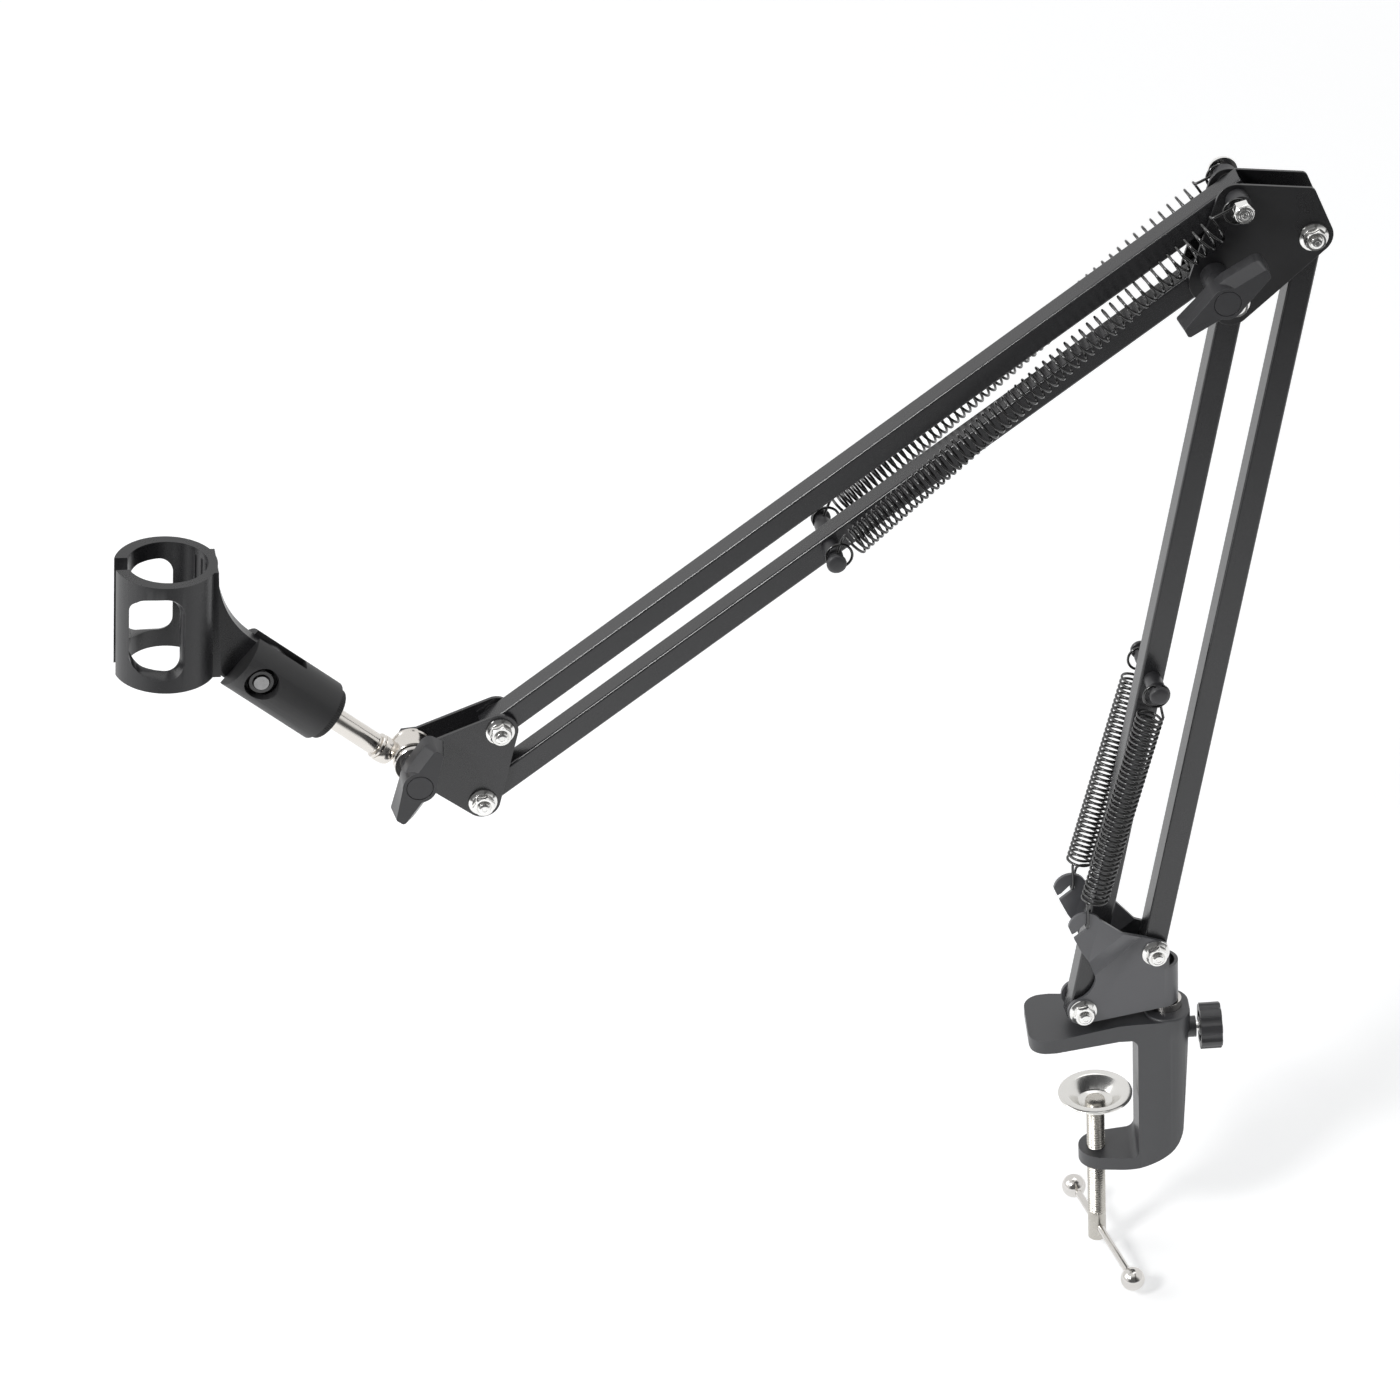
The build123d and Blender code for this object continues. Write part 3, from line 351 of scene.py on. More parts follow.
screw_low, screw_high = box_of("clamp_screw")
pad_low = box_of("pressure_pad")[0]
screw_place = place_of("screw_turn")
screw_tall = screw_high[2] - screw_low[2]
thread_start, thread_end = 14.0, pad_low[2] - screw_low[2] - 3.0


def screw_thread(along, radius, angle):
    """A vee thread: the radius falls and rises evenly once in each pitch, a pitch further for each
    turn, and fades in and out at the thread's two ends."""
    phase = np.mod(along / thread_pitch - angle / (2 * np.pi), 1.0)
    cut = thread_depth * np.abs(2 * phase - 1)
    faded = np.clip((along - thread_start) / 1.5, 0, 1) * np.clip(thread_end - along, 0, 1)
    return np.where(radius > 0.9 * screw_radius, radius - cut * faded, radius)


# Chamfered foot, threaded shank, neck, and the riveted end.
screw_profile = [
    (0, 0), (0, screw_radius - 0.7),
    *[(height, screw_radius) for height in np.linspace(0.6, thread_end + 1.5, thread_rows)],
    (thread_end + 2.6, screw_radius), (thread_end + 2.9, neck_radius),
    (screw_tall - 1.9, neck_radius), (screw_tall - 1.8, 4.3), (screw_tall - 0.9, 4.0),
    (screw_tall - 0.25, 2.8), (screw_tall, 1.2), (screw_tall, 0),
]
screw_foot = (screw_place[0], screw_place[1], screw_low[2])
thread_steel = plated("thread_steel", (0.46, 0.44, 0.40), (0.60, 0.58, 0.54), 0.24, 120.0)
clamp_screw = piece_from(
    "clamp_screw_threaded", [turned(screw_profile, screw_foot, upwards, 40, screw_thread)],
    thread_steel, "clamp_screw")
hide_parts("clamp_screw")


# ------------------------------------------------------------------ tommy bar
# A drawn chromed bar that slides through the foot of the screw and turns it. A ball is pressed on
# each end, so that the bar can't fall out.
bar_radius, ball_radius, end_room = 1.6, 5.25, 0.4
ball_rows, bar_rows = 30, 24
bar_axis = np.array(joint["bar_slide"]["axis"], float)
bar_low, bar_high = box_of("tommy_bar")
bar_half = (bar_high[1] - bar_low[1]) / 2 / abs(bar_axis[1]) - end_room

# Each ball is a half circle, cut off where it meets the bar: its reach is the radius times the
# cosine of the angle, and its width the radius times the sine.
ball_angles = np.linspace(0, np.pi - math.asin(bar_radius / ball_radius), ball_rows)
ball_reach, ball_width = ball_radius * np.cos(ball_angles), ball_radius * np.sin(ball_angles)
bar_profile = np.concatenate([
    np.stack([-bar_half - ball_reach, ball_width], 1),
    np.stack([np.linspace(ball_radius - bar_half, bar_half - ball_radius, bar_rows),
              np.full(bar_rows, bar_radius)], 1),
    np.stack([bar_half + ball_reach, ball_width], 1)[::-1],
])
tommy_bar = piece_from(
    "tommy_bar_balled", [turned(bar_profile, (bar_low + bar_high) / 2, bar_axis)],
    bright_chrome, "tommy_bar", 50)
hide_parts("tommy_bar", "tommy_bar_balls")


# ------------------------------------------------------------------ pressure pad
# A dish pressed from sheet steel and plated. It swivels on the riveted neck of the screw, and its
# flat rolled rim bears on the underside of the desk.
pad_profile = [
    (0.1, 3.4), (0, 3.7), (0, 7.4), (0.4, 8.2), (4.6, 12.4), (4.9, 12.9),
    (4.95, 15.2), (5.3, 15.72), (5.9, 15.75), (6.3, 15.4), (6.4, 14.9),
    (6.4, 12.6), (6.1, 11.8), (2.0, 7.5), (1.5, 6.9), (1.5, 3.7),
    (1.4, 3.4), (0.1, 3.4),
]
pad_foot = (screw_place[0], screw_place[1], pad_low[2])
satin_nickel = plated("satin_nickel", (0.70, 0.69, 0.66), (0.80, 0.79, 0.77), 0.18)
pressure_pad = piece_from(
    "pressure_pad_pressed", [turned(pad_profile, pad_foot, upwards, 72)], satin_nickel, "pad", 40)
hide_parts("pressure_pad")


# ------------------------------------------------------------------ base bracket
# A blank of 1.5 mm steel folded into a U with two spring ears. It is welded to the stud, its edges
# are tumbled, and its powder coat is greyer than the clamp's.
bracket_coat = powder_coat("bracket_powder_coat",
                           (0.078, 0.079, 0.085), (0.096, 0.097, 0.104), 0.28)
eased("base_bracket", bracket_coat, 0.22)


# ------------------------------------------------------------------ arm tubes and plates
# Four square steel tubes, and flat blanked plates in pairs at the elbow and the tip. The tubes and
# tip plates share one glossy powder coat. The elbow plates have a darker copy of it, painted shade
# for the shade that falls at the elbow.
tube_coat = powder_coat("tube_powder_coat", (0.017, 0.017, 0.018), (0.024, 0.024, 0.026), 0.19)
# Painted shade: the elbow plates' coat is a darker copy of the tubes' coat, for the shade at the
# elbow.
elbow_plate_painted_shade_coat = powder_coat("plate_powder_coat_painted_shade", (0.010, 0.010, 0.011), (0.016, 0.016, 0.017), 0.24)
for plate, coat in (("elbow_plate_front", elbow_plate_painted_shade_coat), ("elbow_plate_back", elbow_plate_painted_shade_coat),
                    ("tip_plate_front", tube_coat), ("tip_plate_back", tube_coat)):
    eased(plate, coat, 0.25)
coated(tube_coat, "lower_front_tube", "lower_rear_tube", "upper_top_tube", "upper_bottom_tube")


# ------------------------------------------------------------------ washers, pivot bolts and nuts
# Every linkage pivot is an M5 bolt through both plates, with black nylon washers beside the tubes.
# A zinc-plated flanged nut closes it on the knob side, and the chamfered bolt end stands proud.
nylon_black = moulded("nylon_black",
                      (0.010, 0.010, 0.010), (0.018, 0.018, 0.018), 0.45, 3000.0, 0.01 * MM)
coated(nylon_black, "base_washers", "elbow_washers", "tip_washers")

knob_side, far_side = (0, -1, 0), (0, 1, 0)
plate_face = -box_of("elbow_plate_front")[0][1]
bolt_radius, bolt_end = 2.5, 6.2
flange_rim = 5.9
nut_half_flats, nut_blank, nut_tall, nut_chamfer = 4.0, 4.7, 4.6, 1.1
head_tall, head_chamfer = 3.6, 0.7


def hexagon_rows(blank, plain_from, chamfer_from, top, plain_rows, chamfer_rows):
    """Rows of a round blank's radius, close together over the chamfer, for hexagonal to cut."""
    heights = (*np.linspace(plain_from, chamfer_from, plain_rows),
               *np.linspace(chamfer_from, top, chamfer_rows))
    return [(height, blank) for height in heights]


def hexagonal(turn, flats, chamfer_from, chamfer_to):
    """A radius no larger than a hexagon's, which is half the flats over the cosine of the angle
    from the middle of a flat, and no larger than a circle that shrinks over the chamfer."""
    corner = flats / math.cos(np.pi / 6)

    def cut(along, radius, angle):
        from_flat = np.mod(angle - turn, np.pi / 3) - np.pi / 6
        fall = np.clip((along - chamfer_from) / (chamfer_to - chamfer_from), 0, 1)
        circle = corner - fall * (corner - flats * 0.97)
        left = np.minimum(np.minimum(radius, flats / np.cos(from_flat)), circle)
        return np.where(radius > flats * 0.999, left, radius)
    return cut


def nut_and_end(place, turn):
    """The flange as a low cone, the hexagon above it, and the bolt's chamfered end, each a profile
    turned about the bolt."""
    foot = (place[0], -plate_face, place[2])
    chamfer_from = nut_tall - nut_chamfer
    flange = [(0, 0), (0, flange_rim - 0.25), (0.3, flange_rim), (0.75, flange_rim - 0.1),
              (1.15, flange_rim - 0.9), (1.6, nut_half_flats * 1.12), (1.6, 0)]
    body = [(1.2, 0), (1.2, nut_blank),
            *hexagon_rows(nut_blank, 1.5, chamfer_from, nut_tall, 5, 7),
            (nut_tall, 3.1), (nut_tall - 0.35, 2.6), (nut_tall - 0.35, 0)]
    end = [(nut_tall - 0.8, 0), (nut_tall - 0.8, bolt_radius), (bolt_end - 0.55, bolt_radius),
           (bolt_end - 0.1, bolt_radius - 0.5), (bolt_end, bolt_radius - 0.75), (bolt_end, 1.1),
           (bolt_end - 0.12, 0.95), (bolt_end - 0.12, 0)]
    hexagon = hexagonal(turn, nut_half_flats, chamfer_from, nut_tall)
    return [turned(flange, foot, knob_side), turned(body, foot, knob_side, 96, hexagon),
            turned(end, foot, knob_side, 32)]


def bolt_head(place, turn):
    """The bolt's hexagon head on the far plate, and its shank through the linkage, each a profile
    turned about the bolt."""
    foot = (place[0], plate_face, place[2])
    chamfer_from = head_tall - head_chamfer
    head = [(0, 0), (0, nut_blank), *hexagon_rows(nut_blank, 0.3, chamfer_from, head_tall, 4, 5),
            (head_tall, 3.4), (head_tall, 0)]
    shank = [(-2 * plate_face, 0), (-2 * plate_face, bolt_radius), (0.2, bolt_radius), (0.2, 0)]
    hexagon = hexagonal(turn, nut_half_flats, chamfer_from, head_tall)
    return [turned(head, foot, far_side, 96, hexagon), turned(shank, foot, far_side, 32)]


base_front, base_rear = place_of("lower_lift"), place_of("lower_link_turn")
elbow_front, spring_bolt_place = place_of("elbow_turn"), place_of("upper_link_turn")
elbow_rear = elbow_front + base_rear - base_front
tip_bottom = place_of("tip_turn")
tip_top = tip_bottom + spring_bolt_place - place_of("upper_lift")
for body, pivots, turns in (
    ("base", (base_front, base_rear), (0.15, 0.35)),
    ("elbow", (elbow_front, elbow_rear), (0.5, 0.25)),
    ("tip", (tip_top, tip_bottom), (0.3, 0.05)),
):
    shells = []
    for pivot, turn in zip(pivots, turns):
        shells += nut_and_end(pivot, turn) + bolt_head(pivot, turn + 0.3)
    fasteners = piece_from(body + "_fasteners", shells, zinc_plate, body)
    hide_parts(body + "_bolts", body + "_nuts")


# ------------------------------------------------------------------ spring pins
# A headed pin of blackened steel through one tube of each arm. A sleeve keeps each spring clear of
# the tube, and the spring's loop sits in the groove behind the pin's domed head.
sleeve_foot = 5.0
groove_radius = 2.5


def pin_shells(node):
    """A sleeve, a groove for the loop and a domed head on each side of the tube, as one profile
    turned about the pin."""
    low, high = box_of(node)
    half = (high[1] - low[1]) / 2
    profile = [
        (0, 0), (0, 3.6), (half - 6.6, 3.6), (half - 6.4, 3.4), (half - 6.3, groove_radius),
        (half - 2.3, groove_radius), (half - 2.2, 3.7), (half - 1.9, 4.0), (half - 0.9, 4.0),
        (half - 0.4, 3.6), (half - 0.1, 2.6), (half, 1.3), (half, 0),
    ]
    outwards = [(max(along - sleeve_foot, 0), radius) for along, radius in profile]
    return [turned(outwards, (low + high) / 2 + np.array((0, side * sleeve_foot, 0)),
                   (0, side, 0), 40) for side in (-1, 1)]


pin_black = moulded("pin_black_oxide",
                    (0.026, 0.026, 0.028), (0.045, 0.045, 0.048), 0.30, 2500.0, 0.01 * MM)
for arm in ("lower", "upper"):
    pins = piece_from(arm + "_spring_pins", pin_shells(arm + "_spring_pin"), pin_black,
                      arm + "_arm", 40)
    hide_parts(arm + "_spring_pin")


# ------------------------------------------------------------------ tension springs
# Four springs coiled from blackened wire. Each end turn is bent up into a loop as large as the
# coil, and at the base it is drawn out instead, so that its two legs straddle the bracket's ear.
wire_radius, wire_sides = 0.57, 8
coil_radius, turn_points = 5.25, 26
loop_from, loop_to, loop_points = math.radians(150), math.radians(-165), 60
loop_play, loop_pull, bend_points = 0.08, 6, 22
ear_straddle, ear_sag, under_points = 1.45, 0.2, 16
leg_tall, leg_pull, leg_points = 8, 8, 16
tuck_in, tuck_aside, tuck_pull, tuck_points = 3.2, 2.5, 9, 18
coil_pull = 5


def wire(path, guide):
    """A round wire along a path: each ring is its point plus the wire's radius times the cosine and
    sine of the angle on two ways across it, turned so that it follows the last without twist."""
    forward = np.gradient(path, axis=0)
    forward /= np.linalg.norm(forward, axis=1)[:, None]
    first = np.cross(forward, guide)
    first /= np.linalg.norm(first, axis=1)[:, None]
    second = np.cross(forward, first)
    lag = np.arctan2((first[:-1] * second[1:]).sum(1), (first[:-1] * first[1:]).sum(1))
    twist = np.concatenate([[0], np.cumsum(lag)])[:, None, None]
    angle = np.linspace(0, 2 * np.pi, wire_sides, endpoint=False)[None, :, None] + twist
    rings = path[:, None] + wire_radius * (np.cos(angle) * first[:, None]
                                           + np.sin(angle) * second[:, None])
    ends = np.repeat(path[[0, -1]][:, None], wire_sides, axis=1)
    return np.concatenate([ends[:1], rings, ends[1:]])


def bend_between(start, start_way, end, end_way, count):
    """The cubic that leaves one point along its way and reaches another along its own: the sum of
    the two points and the two ways, each weighed by its own cubic of the share gone."""
    t = np.linspace(0, 1, count)[:, None]
    return ((2 * t**3 - 3 * t**2 + 1) * start + (t**3 - 2 * t**2 + t) * start_way
            + (3 * t**2 - 2 * t**3) * end + (t**3 - t**2) * end_way)


def coil(start, end, side_way, turns, opening):
    """A helix: a circle of the coil's radius carried from start to end. The way along grows with
    the square of the turn by the share opening, so that the pitch widens evenly towards the end."""
    axis = (end - start) / np.linalg.norm(end - start)
    t = np.linspace(0, 1, turns * turn_points)
    spacing = (1 - opening) * t + opening * t**2
    across = np.cross(axis, side_way)
    angle = -2 * np.pi * turns * t
    return (start + (end - start) * spacing[:, None]
            + coil_radius * (np.cos(angle)[:, None] * across + np.sin(angle)[:, None] * side_way))


def loop_on_pin(pin, axis, side_way, coil_end, coil_way):
    """A nearly full circle hung on a pin, and the bend to the coil: its centre, less the coil's
    radius times the cosine of the angle along the spring, plus that times the sine across it."""
    centre = pin - axis * (coil_radius - wire_radius - bolt_radius - loop_play)
    across = np.cross(axis, side_way)
    angle = np.linspace(loop_from, loop_to, loop_points)
    ring = centre + coil_radius * (np.cos(angle)[:, None] * -axis + np.sin(angle)[:, None] * across)
    way = ring[1] - ring[0]
    way /= np.linalg.norm(way)
    bend = bend_between(coil_end, coil_way * loop_pull, ring[0], way * loop_pull, bend_points)
    return np.concatenate([bend[1:], ring[1:]])


def hook_on_ear(ear, axis, side_way, coil_end, coil_middle):
    """A leg down one side of the ear, half an ellipse under it, and a leg back into the coil. The
    half ellipse is the cosine of the angle to the side and 0.6 of its sine along the spring."""
    foot = ear - axis * ear_sag
    near_leg, far_leg = foot + side_way * ear_straddle, foot - side_way * ear_straddle
    half_turn = np.linspace(0, np.pi, under_points)[:, None]
    under = foot + ear_straddle * (np.cos(half_turn) * side_way + 0.6 * np.sin(half_turn) * axis)
    tucked = coil_middle - np.cross(axis, side_way) * tuck_in - side_way * tuck_aside
    down = bend_between(coil_end, -side_way * coil_pull,
                        near_leg - axis * leg_tall, axis * leg_pull, leg_points)
    back = bend_between(far_leg, -axis * tuck_pull, tucked, -axis * coil_pull, tuck_points)
    return np.concatenate([down[1:], under, back[1:]])


def spring(name, node, pin, far, side, gaps, turns, opening, hooked):
    """A coil between a loop on the arm's pin and its other end."""
    pin, far = np.array((pin[0], side, pin[2])), np.array((far[0], side, far[2]))
    axis = (far - pin) / np.linalg.norm(far - pin)
    side_way = np.array((0.0, 1.0, 0.0))
    coil_start, coil_end = pin + axis * gaps[0], far - axis * gaps[1]
    middle = coil(coil_start, coil_end, side_way, turns, opening)
    first = loop_on_pin(pin, -axis, side_way, middle[0], side_way)[::-1]
    if hooked:
        last = hook_on_ear(far, axis, side_way, middle[-1], coil_end)
    else:
        last = loop_on_pin(far, axis, side_way, middle[-1], -side_way)
    path = np.concatenate([first[:-1], middle, last])
    steps = np.linalg.norm(np.diff(path, axis=0), axis=1)
    path = path[np.concatenate([[True], steps > 0.0001])]
    in_coil = np.zeros(len(path), bool)
    in_coil[len(first) - 3:len(first) + len(middle) - 3] = True
    leaning = side_way * 0.94 + np.cross(axis, side_way) * 0.34
    guide = np.where(in_coil[:, None], axis, leaning)
    made = piece_from(name, [wire(path, guide)], spring_wire, None, 60)
    tuple(pin * MM)
    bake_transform(made)
    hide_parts(node)


spring_wire = plated("spring_wire", (0.07, 0.07, 0.07), (0.11, 0.11, 0.11), 0.13, 300.0)
ear_side = box_of("lower_spring_back")[1][1] - coil_radius - wire_radius
lower_pin = sum(box_of("lower_spring_pin")) / 2
upper_pin = sum(box_of("upper_spring_pin")) / 2
ear_hole = base_front + np.array((0.6, 0.0, 48.3))
for name, side in (("front", -ear_side), ("back", ear_side)):
    spring("lower_coil_" + name, "lower_spring_" + name, lower_pin, ear_hole, side,
           (11, 12), 39, 0.0, True)
    spring("upper_coil_" + name, "upper_spring_" + name, upper_pin, spring_bolt_place, side,
           (10, 11), 56, 0.33, False)


# ------------------------------------------------------------------ elbow spring bolt
# A long zinc-plated bolt that carries the upper springs on black sleeves, outside both plates. Its
# hexagon head is faced and ringed in the lathe, and a nut closes it on the far side.
long_head_tall = 4.6
long_head_chamfer = (3.0, 4.1)
head_face = -box_of("spring_bolt")[0][1]
head_foot = (spring_bolt_place[0], -head_face + long_head_tall, spring_bolt_place[2])
long_head = [
    (0, 0), (0, nut_blank), *hexagon_rows(nut_blank, 0.3, *long_head_chamfer, 5, 6), (4.1, 3.8),
    (4.25, 3.78), (4.5, 3.5), (4.5, 3.0), (4.35, 2.8), (4.35, 2.4), (4.5, 2.2),
    (4.55, 1.5), (4.4, 1.3), (4.4, 0.9), (4.55, 0.7), (long_head_tall, 0),
]
long_reach = 2 * head_face - 4.7
long_shank = [(0, 0), (0, bolt_radius), (long_reach, bolt_radius), (long_reach, 0)]
spring_bolt = piece_from(
    "spring_bolt_turned",
    [turned(long_head, head_foot, knob_side, 96,
            hexagonal(0.2, nut_half_flats, *long_head_chamfer)),
     turned(long_shank, head_foot, far_side, 32)],
    zinc_plate, "elbow")
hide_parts("spring_bolt")
coated(zinc_plate, "spring_bolt_nut")
coated(pin_black, "spring_spacers", "elbow_bush")


# ------------------------------------------------------------------ wing knobs
# Two-winged plastic knobs moulded on M6 nuts. Each runs on a blackened bolt through its plates and
# stiffens the joint by clamping them, the tip's over a turned and chromed washer.
for knob in ("elbow_wing_knob", "tip_wing_knob"):
    eased(knob, knob_plastic, 0.35, 3, 24.0)
coated(pin_black, "elbow_clamp_bolt", "tip_clamp_bolt")

washer_bore = 3.0
washer_profile = [
    (0, washer_bore), (0, 7.9), (0.25, 8.2), (1.6, 8.2), (1.9, 7.9),
    (1.9, 5.6), (1.75, 5.4), (1.75, washer_bore), (0, washer_bore),
]
tip_knob_place = place_of("post_tilt")
washer_foot = (tip_knob_place[0], -plate_face, tip_knob_place[2])
tip_washer = piece_from(
    "tip_washer_turned", [turned(washer_profile, washer_foot, knob_side, 64)],
    bright_chrome, "tip")
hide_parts("tip_steel_washer")


# ------------------------------------------------------------------ swivel lug
# A turned and nickelled barrel between the tip plates, waisted at its middle. A flared neck brazed
# to its side takes the post, and the knob's bolt runs through its bore.
lug_bore, lug_radius = 3.1, 8.4
lug_half = box_of("swivel_lug")[1][1]
lug_edge = [(lug_half, lug_bore), (lug_half, lug_radius - 0.5), (lug_half - 0.4, lug_radius),
            (lug_half - 1.3, lug_radius), (lug_half - 1.9, lug_radius - 0.5),
            (1.5, lug_radius - 0.8)]
lug_profile = [*[(-along, radius) for along, radius in lug_edge], (0, lug_radius - 0.85),
               *lug_edge[::-1], (-lug_half, lug_bore)]
neck_profile = [
    (6.4, 0), (6.4, 3.4), (7.2, 4.7), (8.6, 5.35), (10.5, 5.6),
    (12.4, 5.6), (12.9, 5.3), (13.0, 4.9), (13.0, 0),
]
post_axis = np.array(joint["socket_turn"]["axis"], float)
post_foot = place_of("socket_turn")
lug_nickel = plated("lug_nickel", (0.64, 0.61, 0.57), (0.76, 0.73, 0.69), 0.15)
lug = piece_from(
    "swivel_lug_turned",
    [turned(lug_profile, (tip_knob_place[0], 0, tip_knob_place[2]), far_side, 72),
     turned(neck_profile, post_foot, post_axis, 56)],
    lug_nickel, "lug")
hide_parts("swivel_lug")


# ------------------------------------------------------------------ post
# A plain nickelled rod with a turned collar, pressed into the lug's neck. Its free end is rounded
# and stands inside the thread adapter.
post_radius = 4.55
post_profile = [
    (12.6, 0), (12.6, 4.0), (13.1, 4.9), (13.3, 5.4), (14.2, 5.45), (14.6, 5.2), (14.8, 4.0),
    (15.4, 3.9), (15.8, 4.4), (16.4, post_radius), (57.0, post_radius), (57.6, 4.1),
    (57.9, 3.4), (57.9, 0),
]
post = piece_from(
    "mic_post_turned", [turned(post_profile, post_foot, post_axis, 56)], lug_nickel, "lug")
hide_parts("mic_post")


# ------------------------------------------------------------------ thread adapter
# A black adapter sleeve on the post. Its ring, straight-knurled for the fingers, shows at the mouth
# of the socket.
ring_start, ring_end, sleeve_end = 38.9, 42.5, 58.0
ring_radius, sleeve_radius, sleeve_bore = 11.05, 7.9, 4.63
grooves, groove_depth = 72, 0.32
columns_per_groove = 8


def straight_knurl(along, radius, angle):
    """Grooves along the ring: the rim dips by the square of half of one less the cosine of the
    angle times the number of grooves."""
    dip = groove_depth * (0.5 - 0.5 * np.cos(grooves * angle)) ** 2
    return np.where(radius > ring_radius * 0.985, radius - dip, radius)


ring_profile = [
    (ring_start, sleeve_bore), (ring_start, 10.2), (ring_start + 0.25, ring_radius * 0.975),
    (ring_start + 0.5, ring_radius), (ring_end - 0.4, ring_radius),
    (ring_end - 0.15, ring_radius * 0.975), (ring_end, 10.4), (ring_end, sleeve_radius),
    (sleeve_end, sleeve_radius), (sleeve_end, sleeve_bore), (ring_start, sleeve_bore),
]
socket_plastic = moulded("socket_plastic",
                         (0.020, 0.020, 0.021), (0.030, 0.030, 0.031), 0.42, 3000.0, 0.03 * MM)
adapter = piece_from(
    "thread_adapter_knurled",
    [turned(ring_profile, post_foot, post_axis, grooves * columns_per_groove, straight_knurl)],
    socket_plastic, "socket", 40)
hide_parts("thread_adapter")


# ------------------------------------------------------------------ clip socket, its bolt and nut
# A moulded black socket with a fork at its end. A steel bolt through the fork carries the clip, and
# a blackened hexagon nut sits in a recess on the knob side.
eased("clip_socket", socket_plastic, 0.45, 3, 35.0)

recess_floor = 6.6
clip_nut_blank, clip_nut_half_flats = 5.9, 5.0
clip_nut_chamfer = (2.8, 3.4)
clip_nut_profile = [
    (0, 0), (0, clip_nut_blank), *hexagon_rows(clip_nut_blank, 0.2, *clip_nut_chamfer, 4, 6),
    (3.4, 3.6), (3.0, 3.1), (3.0, 0),
]
clip_bolt_place = place_of("clip_tilt")
clip_nut_foot = (clip_bolt_place[0], -recess_floor, clip_bolt_place[2])
nut_black = plated("nut_black_oxide", (0.06, 0.06, 0.06), (0.11, 0.11, 0.11), 0.18, 300.0)
clip_nut = piece_from(
    "clip_nut_chamfered",
    [turned(clip_nut_profile, clip_nut_foot, knob_side, 96,
            hexagonal(0.35, clip_nut_half_flats, *clip_nut_chamfer))],
    nut_black, "socket")
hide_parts("clip_nut")

bolt_steel = plated("bolt_steel", (0.26, 0.26, 0.26), (0.40, 0.40, 0.40), 0.16, 400.0)
coated(bolt_steel, "clip_bolt")


# ------------------------------------------------------------------ split clip
# Moulded in one piece: a springy split barrel with windows, its neck and its web. Seven raised ribs
# run down the inside of the barrel beside the neck and grip the microphone.
clip_plastic = moulded("clip_plastic",
                       (0.010, 0.010, 0.011), (0.016, 0.016, 0.018), 0.20, 2400.0, 0.02 * MM)
eased("clip_holder", clip_plastic, 0.45, 3)

clip_middle = clip_bolt_place + np.array((-33.63, 0.0, 30.05))
clip_up, clip_out = np.array((0.1011, 0.0, 0.9949)), np.array((0.9949, 0.0, -0.1011))
rib_half, rib_ring, rib_radius, rib_tip = 21.0, 16.25, 0.75, 0.4
rib_profile = [(-rib_half, 0), (-rib_half, rib_tip), (0.8 - rib_half, rib_radius),
               (rib_half - 0.8, rib_radius), (rib_half, rib_tip), (rib_half, 0)]
rib_shells = []
for turn in np.radians((-42, -28, -14, 0, 14, 28, 42)):
    outwards = math.cos(turn) * clip_out + math.sin(turn) * np.array(far_side)
    rib_shells.append(turned(rib_profile, clip_middle + rib_ring * outwards, clip_up, 12))
clip_ribs = piece_from("clip_ribs", rib_shells, clip_plastic, "clip")


# ------------------------------------------------------------------ floor
# A white sweep of matt paper under the arm, in metres from here on. It shows the arm's soft shadow.
# Nearer the lens its colour and glow go nearly black for glossy rays only: a painted reflection of
# a black flag, which only the glossy pieces mirror.
floor_half = 9.0
floor_level = cad_box[0].z - 4.0 * MM
floor_mesh = bpy.data.meshes.new("floor")
floor_mesh.from_pydata([(x * floor_half, y * floor_half, floor_level)
                        for x, y in ((-1, -1), (1, -1), (1, 1), (-1, 1))], [], [(0, 1, 2, 3)])
floor = bpy.data.objects.new("floor", floor_mesh)
bpy.context.scene.collection.objects.link(floor)

black, paper_white = (0.0, 0.0, 0.0), (0.93, 0.93, 0.93)
near_glow, far_glow = (0.35, 0.355, 0.36), (0.55, 0.55, 0.55)
sweep = Finish("white_sweep")
mirrored = Field.of(sweep.tree, "ShaderNodeLightPath", {}, {}, "Is Glossy Ray")
sweep_x, sweep_y = sweep.place.part("X"), sweep.place.part("Y")
# Painted reflection: nearer the lens the sweep's colour and glow fall nearly to black for glossy
# rays only.
beyond_painted_reflection = sweep_y.between(-0.85, -0.42)
lit = 1.0 - mirrored * (1.0 - beyond_painted_reflection) * 0.94 - sweep.place.noise(3.0) * 0.01
far_away = (sweep_x * sweep_x + sweep_y * sweep_y).between(0.3, 5.0)
sweep.set(
    Base_Color=lit.colours(black, paper_white),
    Roughness=0.9,
    Emission_Color=lit.colours(black, far_away.colours(near_glow, far_glow)),
    Emission_Strength=1.0,
)
floor_mesh.materials.append(sweep.material)


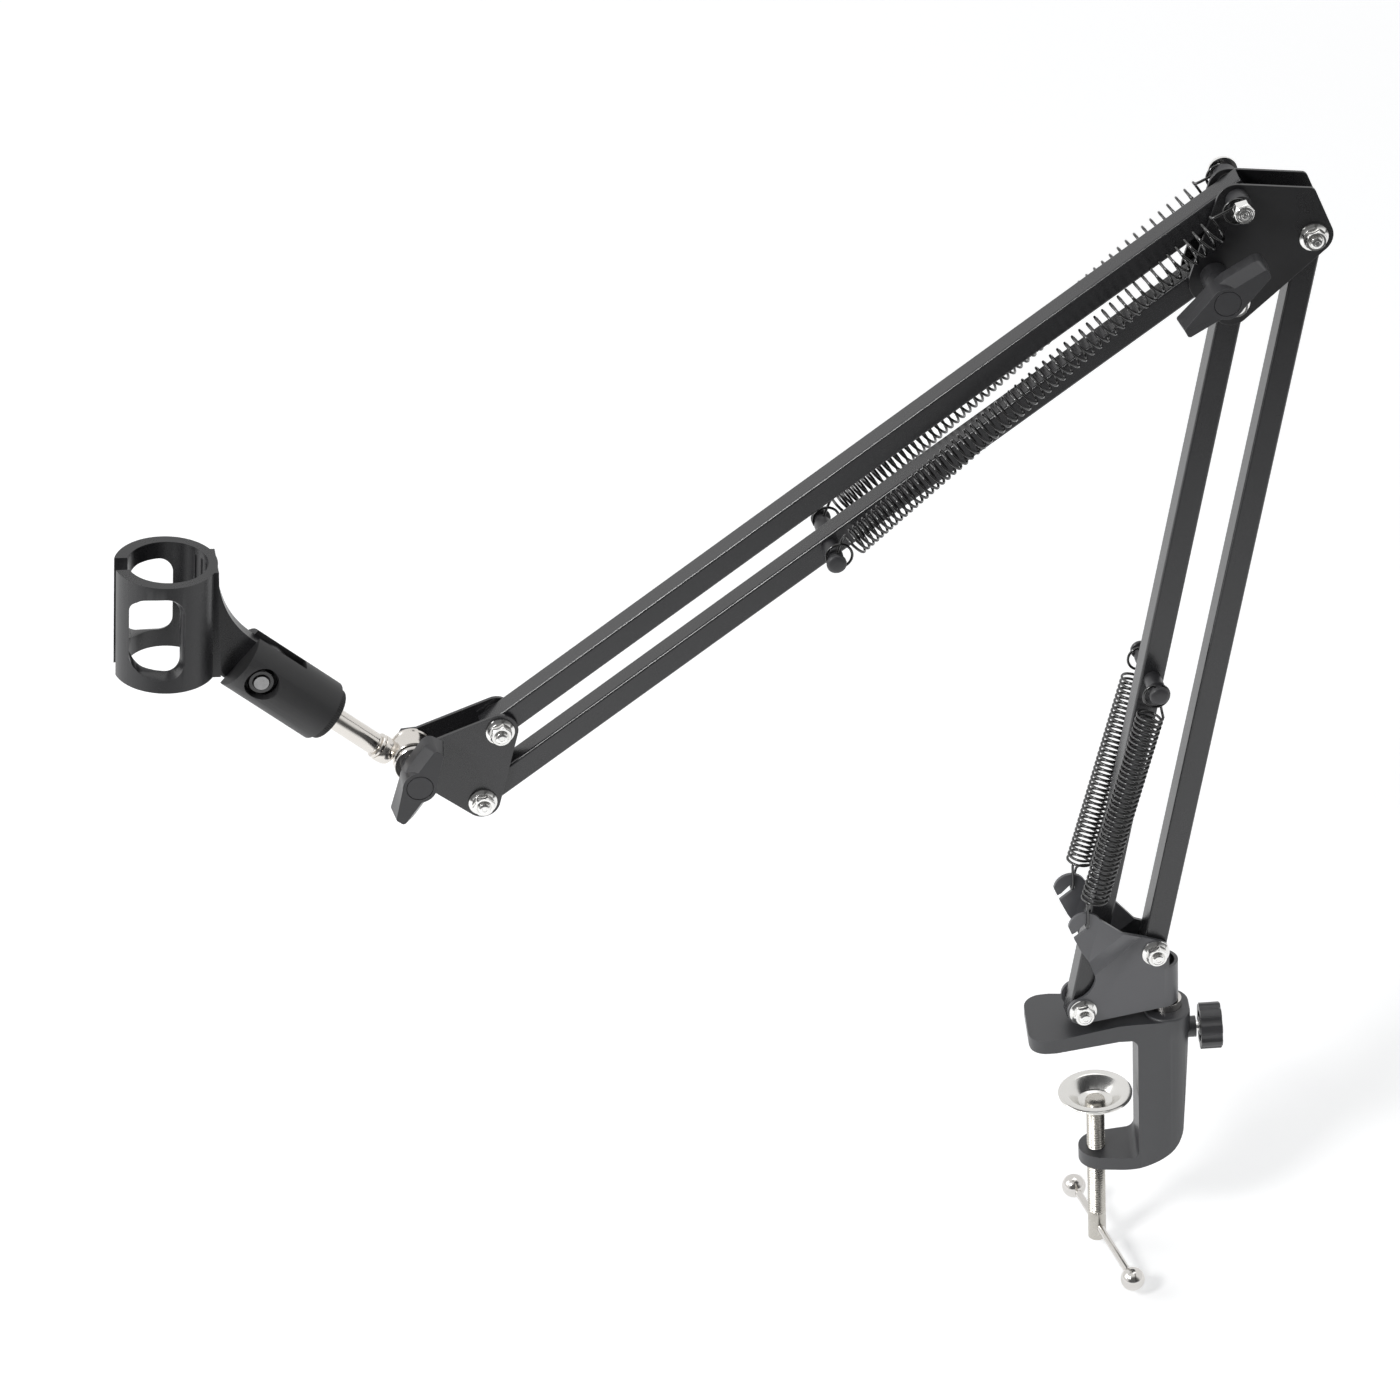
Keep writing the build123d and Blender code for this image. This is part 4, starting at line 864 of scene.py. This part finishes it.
# ------------------------------------------------------------------ room
# An even white room. A dark card behind the lens and a dark slit to the right give the plated and
# powder-coated pieces edges to mirror, and the lens itself sees plain white.
world = bpy.data.worlds.new("studio")
bpy.context.scene.world = world
world.use_nodes = True
sky = world.node_tree
direction = Field.of(sky, "ShaderNodeTexCoord", {}, {}, "Generated")
seen = Field.of(sky, "ShaderNodeLightPath", {}, {}, "Is Camera Ray")
glossy = Field.of(sky, "ShaderNodeLightPath", {}, {}, "Is Glossy Ray")
right, away = direction.part("X"), direction.part("Y")
dark_card = away.between(-0.40, -0.75)
slit = right.between(0.22, 0.30) * right.between(0.46, 0.36) * away.between(0.2, -0.1)
room = 1.0 - (dark_card * 0.85 + slit * 0.8).sum("MINIMUM", 0.93)
level = seen + (1.0 - seen) * room * (glossy * 0.45 + 0.5)
sky.nodes["Background"].inputs["Color"].default_value = (1.0, 1.0, 1.0, 1.0)
sky.links.new(level.socket, sky.nodes["Background"].inputs["Strength"])


# ------------------------------------------------------------------ lamps
# A large softbox high on the left makes the left faces run bright, and one overhead fills the tops.
# A small lamp beside the lens draws a line of light along the tubes' edges.
def broad_lamp(name, place, aim, size, power):
    """A square softbox at a place, facing a point."""
    data = bpy.data.lights.new(name, "AREA")
    data.shape, data.size, data.energy = "SQUARE", size, power
    lamp = bpy.data.objects.new(name, data)
    bpy.context.scene.collection.objects.link(lamp)
    lamp.location = place
    lamp.rotation_euler = (Vector(aim) - Vector(place)).to_track_quat("-Z", "Y").to_euler()


broad_lamp("left_softbox", (-2.6, 0.2, 1.6), (0, 0, 0.2), 1.6, 20.0)
broad_lamp("top_softbox", (0.4, 0.4, 2.8), (-0.1, 0, 0.2), 1.6, 8.0)
broad_lamp("edge_lamp", (-1.5, -1.15, 1.5), (-0.1, 0, 0.18), 0.45, 20.0)


# ------------------------------------------------------------------ camera
# A long lens, held above the microphone's end of the arm and far enough away that the tubes stay
# nearly parallel.
lens_mm, sensor_mm = 161.05, 36.0
stand_point = Vector((-0.4658, -2.1033, 1.5367))
look_along = Vector((0.1097, 0.8369, -0.5363)).normalized()
look_right = Vector((0.9863, -0.1587, -0.046)).normalized()
look_up = look_right.cross(look_along)

camera_data = bpy.data.cameras.new("camera")
camera_data.lens = lens_mm
camera_data.sensor_width = sensor_mm
camera_data.clip_start, camera_data.clip_end = 0.05, 60.0
camera = bpy.data.objects.new("camera", camera_data)
bpy.context.scene.collection.objects.link(camera)
camera.matrix_world = Matrix((
    (look_right.x, look_up.x, -look_along.x, stand_point.x),
    (look_right.y, look_up.y, -look_along.y, stand_point.y),
    (look_right.z, look_up.z, -look_along.z, stand_point.z),
    (0.0, 0.0, 0.0, 1.0),
))
bpy.context.scene.camera = camera
bpy.context.scene.view_settings.view_transform = "Standard"
